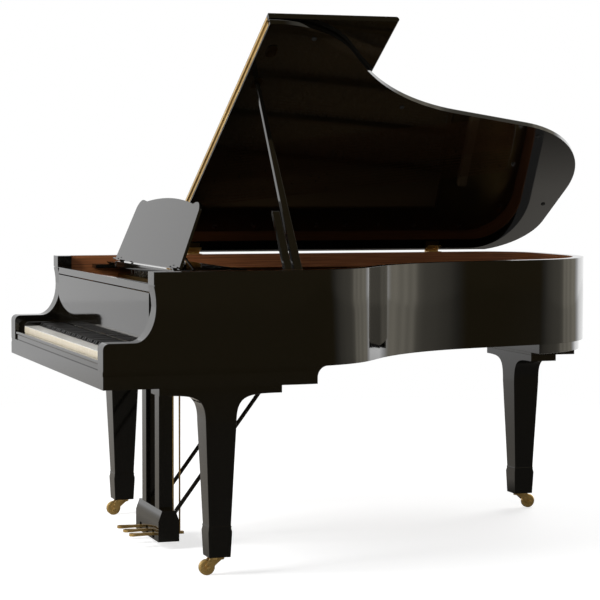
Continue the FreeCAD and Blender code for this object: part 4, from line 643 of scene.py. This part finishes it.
for name in WHITE_NODES:
    low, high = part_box(name)
    mesh = nodes[name].data
    notch = min(v.co.y for v in mesh.vertices if v.co.y > low.y + HAIR)
    cover = high.z - KEY_COVER
    keys = bmesh.new()
    rounded = []
    for head, tail in zip(widths_at(mesh, low.y), widths_at(mesh, high.y)):
        block(keys, Vector((head[0], low.y, low.z)), Vector((head[1], notch, cover)), STICK)
        block(keys, Vector((tail[0], notch, low.z)), Vector((tail[1], high.y, cover)), STICK)
        head_edges = block(keys, Vector((head[0], low.y - KEY_LIP, cover)),
                           Vector((head[1], notch, high.z)))
        tail_edges = block(keys, Vector((tail[0], notch, cover)), Vector((tail[1], high.y, high.z)))
        rounded += [e for e in head_edges if min(v.co.y for v in e.verts) < notch - HAIR]
        rounded += [e for e in tail_edges if abs(e.verts[0].co.y - e.verts[1].co.y) > HAIR
                    and e.verts[0].co.z > cover + HAIR]
    round_off(keys, rounded, KEY_ROUND)
    for face in keys.faces:
        in_front = face.calc_center_median().y < low.y + HAIR
        if face.material_index == STICK and face.normal.y < FACES_PLAYER and in_front:
            face.material_index = FRONT
    settle(keys, name + "_covered", "ivory", rides_on[name], stands_for=[name],
           others=["key_front", "key_wood"])
    print(name, "rounded edges:", len(rounded))

# %% [markdown]
# ## Black keys
# A sharp is an ebony cap with well rounded edges, glued to a wood stick that runs back under the key
# cover. The CAD cap already has its sloped front, so a welded copy is kept. Its upper edges get a
# wide bevel of three steps, because a finger feels them.

# %% Round the black keys
BLACK_ROUND = 0.0014
CAP_BELOW = 3 * KEY_COVER
BLACK_NODES = ("black_keys", "key_c_sharp", "key_d_sharp")

white_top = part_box("white_keys")[1].z
for name in BLACK_NODES:
    sharps = copy_of(name)
    cap_edges = [edge for edge in sharp_edges(sharps)
                 if max(v.co.z for v in edge.verts) > white_top - HAIR]
    round_off(sharps, cap_edges, BLACK_ROUND, WIDE_STEPS)
    for face in sharps.faces:
        face.material_index = 0 if face.calc_center_median().z > white_top - CAP_BELOW else 1
    settle(sharps, name + "_rounded", "ebony", rides_on[name], stands_for=[name],
           others=["key_wood"])
print("black key groups:", len(BLACK_NODES))

# %% [markdown]
# ## Strings
# The CAD gives one wire a note. A real piano has three thin wires a note in the treble and thicker
# copper-wound ones in the bass, so each CAD wire is measured and drawn again as its unison, with
# create_cone between its two ends. A curve with a bevel would do too, but six sides are enough for a
# wire that is one millimetre thick, and there are hundreds.

# %% Helpers: shells and middles
def islands(bm):
    """The separate connected shells of a bmesh, as lists of vertices."""
    left = set(bm.verts)
    shells = []
    while left:
        queue = [left.pop()]
        shell = []
        while queue:
            vertex = queue.pop()
            shell.append(vertex)
            for edge in vertex.link_edges:
                other = edge.other_vert(vertex)
                if other in left:
                    left.remove(other)
                    queue.append(other)
        shells.append(shell)
    return shells


def middle_of(points):
    """The mean of some points."""
    return sum(points, Vector()) / len(points)


wire_mesh = copy_of("strings")
wire_shells = islands(wire_mesh)
print("CAD wires:", len(wire_shells))

# %% Read the CAD wires
# The bass wires cross above the others by more than this
BASS_RISE = 0.005

wires = []
for shell in wire_shells:
    half_way = middle_of([v.co for v in shell]).y
    near = middle_of([v.co for v in shell if v.co.y < half_way])
    far = middle_of([v.co for v in shell if v.co.y > half_way])
    wires.append((near, far))
wires.sort(key=lambda ends: ends[0].x)
wire_mesh.free()
bass_above = min(near.z for near, far in wires) + BASS_RISE
bass_wires = [ends for ends in wires if ends[0].z > bass_above]
tenor_wires = [ends for ends in wires if ends[0].z <= bass_above]
print("bass notes:", len(bass_wires), "tenor and treble notes:", len(tenor_wires))

# %% Helpers: a rod and the wires of a note
PIN_STEP = 0.008
WIRE_SIDES = 6

speaking = []


def rod_between(bm, start, end, radius, sides, end_radius=None):
    """A round rod between two points."""
    along = end - start
    turned = along.to_track_quat("Z", "Y").to_matrix().to_4x4()
    bmesh.ops.create_cone(bm, cap_ends=True, segments=sides, radius1=radius,
                          radius2=radius if end_radius is None else end_radius,
                          depth=along.length, matrix=Matrix.Translation((start + end) / 2) @ turned)


def draw_note(bm, near, far, count, step, radius):
    """The wires of one note side by side, each from a tuning pin further back than the last."""
    for number in range(count):
        aside = number - (count - 1) / 2
        start = near + Vector((aside * step, aside * PIN_STEP, 0))
        end = far + Vector((aside * step, 0, 0))
        speaking.append((start, end))
        rod_between(bm, start, end, radius, WIRE_SIDES)


print("sides of a wire:", WIRE_SIDES)

# %% Draw the unisons
UNISON_STEP = 0.0026
BASS_STEP = 2 * UNISON_STEP
STEEL_WIRE = 0.00055
THICKEST_BASS = 0.0019
THINNEST_BASS = 0.0011
BASS_SINGLES = 8
TENOR_WIRES = 3

copper_wires = bmesh.new()
for note, (near, far) in enumerate(bass_wires):
    share = note / (len(bass_wires) - 1)
    draw_note(copper_wires, near, far, 1 if note < BASS_SINGLES else 2, BASS_STEP,
              THICKEST_BASS + (THINNEST_BASS - THICKEST_BASS) * share)
steel_wires = bmesh.new()
for near, far in tenor_wires:
    draw_note(steel_wires, near, far, TENOR_WIRES, UNISON_STEP, STEEL_WIRE)
settle(steel_wires, "steel_strings", "steel", rides_on["strings"], stands_for=["strings"])
settle(copper_wires, "copper_strings", "copper", rides_on["strings"])
print("strings:", len(speaking))

# %% [markdown]
# ## Tuning pins, studs and hitch pins
# Each wire is wound on a steel tuning pin: a round shaft, a coil of wire and a square head for the
# tuning key. It then passes a brass stud at the edge of the pin field and ends on a hitch pin in the
# plate. Each is one to three cones, because there are hundreds of them.

# %% Tuning pins
PIN_RADIUS = 0.0032
PIN_SIDES = 8
PIN_HEAD = 0.0085
HEAD_TIP = 0.00248
HEAD_SIDES = 4
COIL_RADIUS = 0.0042
COIL_HEIGHT = 0.0045
UP = Vector((0, 0, 1))

plate_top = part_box("tuning_pins")[0].z
half_coil = UP * (COIL_HEIGHT / 2)
pins = bmesh.new()
for near, far in speaking:
    foot = Vector((near.x, near.y - PIN_RADIUS, plate_top))
    coil = Vector((foot.x, foot.y, near.z))
    head = coil + half_coil
    rod_between(pins, foot, head, PIN_RADIUS, PIN_SIDES)
    rod_between(pins, coil - half_coil, head, COIL_RADIUS, PIN_SIDES)
    rod_between(pins, head, head + UP * PIN_HEAD, PIN_RADIUS, HEAD_SIDES, HEAD_TIP)
settle(pins, "round_tuning_pins", "steel", rides_on["tuning_pins"], stands_for=["tuning_pins"])
print("tuning pins:", len(speaking))

# %% Studs and hitch pins
STUD_RADIUS = 0.0028
STUD_RISE = 0.0035
STUD_FROM_EDGE = 0.012
STUD_SIDES = 6
HITCH_RADIUS = 0.0013
HITCH_RISE = 0.0025

field_edge = max(near.y for near, far in speaking) + STUD_FROM_EDGE + PIN_STEP


def on_plate(point):
    """The spot on the plate's top under or over a point."""
    return Vector((point.x, point.y, plate_top))


studs = bmesh.new()
hitches = bmesh.new()
for near, far in speaking:
    stud = near + (far - near) * ((field_edge - near.y) / (far.y - near.y))
    rod_between(studs, on_plate(stud), stud + UP * STUD_RISE, STUD_RADIUS, STUD_SIDES)
    rod_between(hitches, on_plate(far), far + UP * HITCH_RISE, HITCH_RADIUS, STUD_SIDES)
settle(studs, "string_studs", "brass", rides_on["plate"])
settle(hitches, "hitch_pins", "steel", rides_on["plate"])
print("studs and hitch pins:", len(speaking), "each; studs at y", round(field_edge, 3))

# %% [markdown]
# ## Bridge pins
# Where a wire crosses the bridge, two small pins lead it sideways so that it stays put. The bridge
# is curved, so the crossings aren't known beforehand. To find them, the script drops rays along each
# wire on to the bridge, as one would slide a finger along the string.

# %% Pins on the bridges
BRIDGE_PIN = 0.0009
BRIDGE_PIN_SIDES = 5
BRIDGE_STEP = 0.003
BRIDGE_BELOW = 0.004
FEWEST_HITS = 3


def ray_tree(name):
    """A tree of a CAD node's faces, for finding where rays meet it."""
    bm = copy_of(name)
    found = BVHTree.FromBMesh(bm)
    bm.free()
    return found


bridge_tree = ray_tree("bridges")
bridge_pins = bmesh.new()
crossings = 0
for near, far in wires:
    steps = int((far - near).length / BRIDGE_STEP)
    points = [near + (far - near) * (step / steps) for step in range(steps)]
    drops = [bridge_tree.ray_cast(point + UP * HAIR, -UP, BRIDGE_BELOW)[0] for point in points]
    hits = [hit for hit in drops if hit]
    if len(hits) < FEWEST_HITS:
        continue
    crossings += 1
    for hit, side in ((hits[1], 1), (hits[-2], -1)):
        base = hit + Vector((side * UNISON_STEP / 2, 0, -HAIR))
        rod_between(bridge_pins, base, base + UP * BRIDGE_BELOW, BRIDGE_PIN, BRIDGE_PIN_SIDES)
settle(bridge_pins, "bridge_pins", "brass", rides_on["bridges"])
print("bridge crossings:", crossings)

# %% [markdown]
# ## Plate bolts
# The iron plate is held down all round its border by bolts. They could be placed by hand, but then
# they would float when the plate changes. So a ray from outside finds the plate's edge in each
# direction, a second one from above finds its top, and there a washer and a six-sided head are set.

# %% Bolts round the plate
BOLT_COUNT = 34
BOLT_INSET = 0.026
BOLT_RADIUS = 0.0075
BOLT_TOP_RADIUS = 0.00705
BOLT_SIDES = 6
BOLT_HEAD = 0.005
WASHER_RADIUS = 0.0105
WASHER_SIDES = 12
WASHER = 0.0016
BOLT_FRONT_CLEAR = 0.10
WELL_OUTSIDE = 3.0

plate_low, plate_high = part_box("plate")
plate_tree = ray_tree("plate")
middle = (plate_low + plate_high) / 2
middle.z = plate_top - BOLT_HEAD
bolts = bmesh.new()
bolt_spots = 0
for number in range(BOLT_COUNT):
    turn = math.tau * number / BOLT_COUNT
    outwards = Vector((math.cos(turn), math.sin(turn), 0))
    edge = plate_tree.ray_cast(middle + outwards * WELL_OUTSIDE, -outwards)[0]
    if edge is None or edge.y < plate_low.y + BOLT_FRONT_CLEAR:
        continue
    spot = edge - outwards * BOLT_INSET
    top = plate_tree.ray_cast(Vector((spot.x, spot.y, plate_high.z + BOLT_HEAD)), -UP)[0]
    if top is None or abs(top.z - plate_top) > WASHER:
        continue
    seat = top + UP * WASHER
    rod_between(bolts, top, seat, WASHER_RADIUS, WASHER_SIDES)
    rod_between(bolts, seat, seat + UP * BOLT_HEAD, BOLT_RADIUS, BOLT_SIDES, BOLT_TOP_RADIUS)
    bolt_spots += 1
settle(bolts, "plate_bolts", "steel", rides_on["plate"])
print("bolts:", bolt_spots)

# %% [markdown]
# ## Dampers and hammers
# A damper is a black block with a white felt under it that rests on the strings; a hammer is a maple
# shank with a felt head. The felts could be pieces of their own, but each CAD block already has the
# outline of both, so it is cut level where the felt begins, and wood and felt stay one clean shape.

# %% Felts of the dampers
# A damper's head is narrower than this, and at least as deep
HEAD_SPAN = 0.040
DAMPER_FELT = 0.007
DAMPER_ROUND = 0.0006
FELT = 1


def cut_level(bm, geometry, height):
    """Cut these parts of a bmesh with a level plane, and keep both sides."""
    bmesh.ops.bisect_plane(bm, geom=geometry, plane_co=(0, 0, height), plane_no=UP)


def extent(shell, axis):
    """How far a shell reaches along an axis."""
    return max(v.co[axis] for v in shell) - min(v.co[axis] for v in shell)


damper_mesh = copy_of("dampers")
heads = [shell for shell in islands(damper_mesh)
         if extent(shell, 0) < HEAD_SPAN < extent(shell, 1) + HAIR]
for shell in heads:
    felt_top = min(v.co.z for v in shell) + DAMPER_FELT
    edges = {edge for v in shell for edge in v.link_edges}
    faces = {face for v in shell for face in v.link_faces}
    cut_level(damper_mesh, list(shell) + list(edges) + list(faces), felt_top)
    for face in {face for v in shell for face in v.link_faces}:
        if face.calc_center_median().z < felt_top:
            face.material_index = FELT
round_off(damper_mesh, sharp_edges(damper_mesh), DAMPER_ROUND)
settle(damper_mesh, "felted_dampers", "damper_black", rides_on["dampers"], stands_for=["dampers"],
       others=["felt"])
print("damper heads:", len(heads))

# %% Felts of the hammers
HAMMER_FELT = 0.021
HAMMER_ROUND = 0.0008

hammer_mesh = copy_of("hammers")
felt_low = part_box("hammers")[1].z - HAMMER_FELT
cut_level(hammer_mesh, hammer_mesh.verts[:] + hammer_mesh.edges[:] + hammer_mesh.faces[:], felt_low)
felt_edges = [edge for edge in sharp_edges(hammer_mesh)
              if min(v.co.z for v in edge.verts) > felt_low - HAIR]
round_off(hammer_mesh, felt_edges, HAMMER_ROUND)
for face in hammer_mesh.faces:
    face.material_index = FELT if face.calc_center_median().z > felt_low else 0
settle(hammer_mesh, "felted_hammers", "maple", rides_on["hammers"], stands_for=["hammers"],
       others=["felt"])
print("hammer felts begin at", round(felt_low, 3))

# %% [markdown]
# ## Caster axles
# Each wheel turns on an axle whose riveted ends stand out of the horn as small domes. A spun arc
# would make a dome too, but a flattened ball is one call, and its inner half is hidden in the horn.
# The domes ride with the horn and not with the wheel.

# %% Domed axle ends
AXLE_DOME = 0.0052
DOME_FLAT = 0.5
DOME_SIDES = 16
DOME_RINGS = 8
CASTERS = ("left_caster", "right_caster", "rear_caster")

for caster in CASTERS:
    wheel_low, wheel_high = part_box(caster + "_wheel")
    fork_low, fork_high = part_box(caster + "_fork")
    hub = (wheel_low + wheel_high) / 2
    domes = bmesh.new()
    for x in (fork_low.x, fork_high.x):
        place = Matrix.Translation((x, hub.y, hub.z)) @ Matrix.Diagonal((DOME_FLAT, 1, 1, 1))
        bmesh.ops.create_uvsphere(domes, u_segments=DOME_SIDES, v_segments=DOME_RINGS,
                                  radius=AXLE_DOME, matrix=place)
    settle(domes, caster.replace("caster", "axle_ends"), "brass", rides_on[caster + "_fork"])
print("casters with axle ends:", len(CASTERS))

# %% [markdown]
# ## Leg beads
# A small half-round bead marks where the shaft of each leg meets its wider toe; it catches one thin
# line of light. The highest corners of the toe give its place and width, and a slab with fully
# rounded edges makes it.

# %% Bead round each leg
TOE_BELOW = 0.17
BEAD_PROUD = 0.0018
BEAD_HEIGHT = 0.006
BEAD_ROUND = 0.0017

for leg in ("left_leg", "right_leg", "rear_leg"):
    corners = [v.co for v in nodes[leg].data.vertices if v.co.z < TOE_BELOW]
    shoulder = max(corner.z for corner in corners)
    ring = [corner for corner in corners if corner.z > shoulder - HAIR]
    low = Vector([min(corner[i] for corner in ring) - BEAD_PROUD for i in range(3)])
    high = Vector([max(corner[i] for corner in ring) + BEAD_PROUD for i in range(3)])
    low.z = shoulder - BEAD_HEIGHT / 2
    high.z = shoulder + BEAD_HEIGHT / 2
    bead = bmesh.new()
    round_off(bead, block(bead, low, high), BEAD_ROUND, WIDE_STEPS)
    settle(bead, leg + "_bead", "black_lacquer", rides_on[leg])
    print(leg, "bead at", round(shoulder, 3))
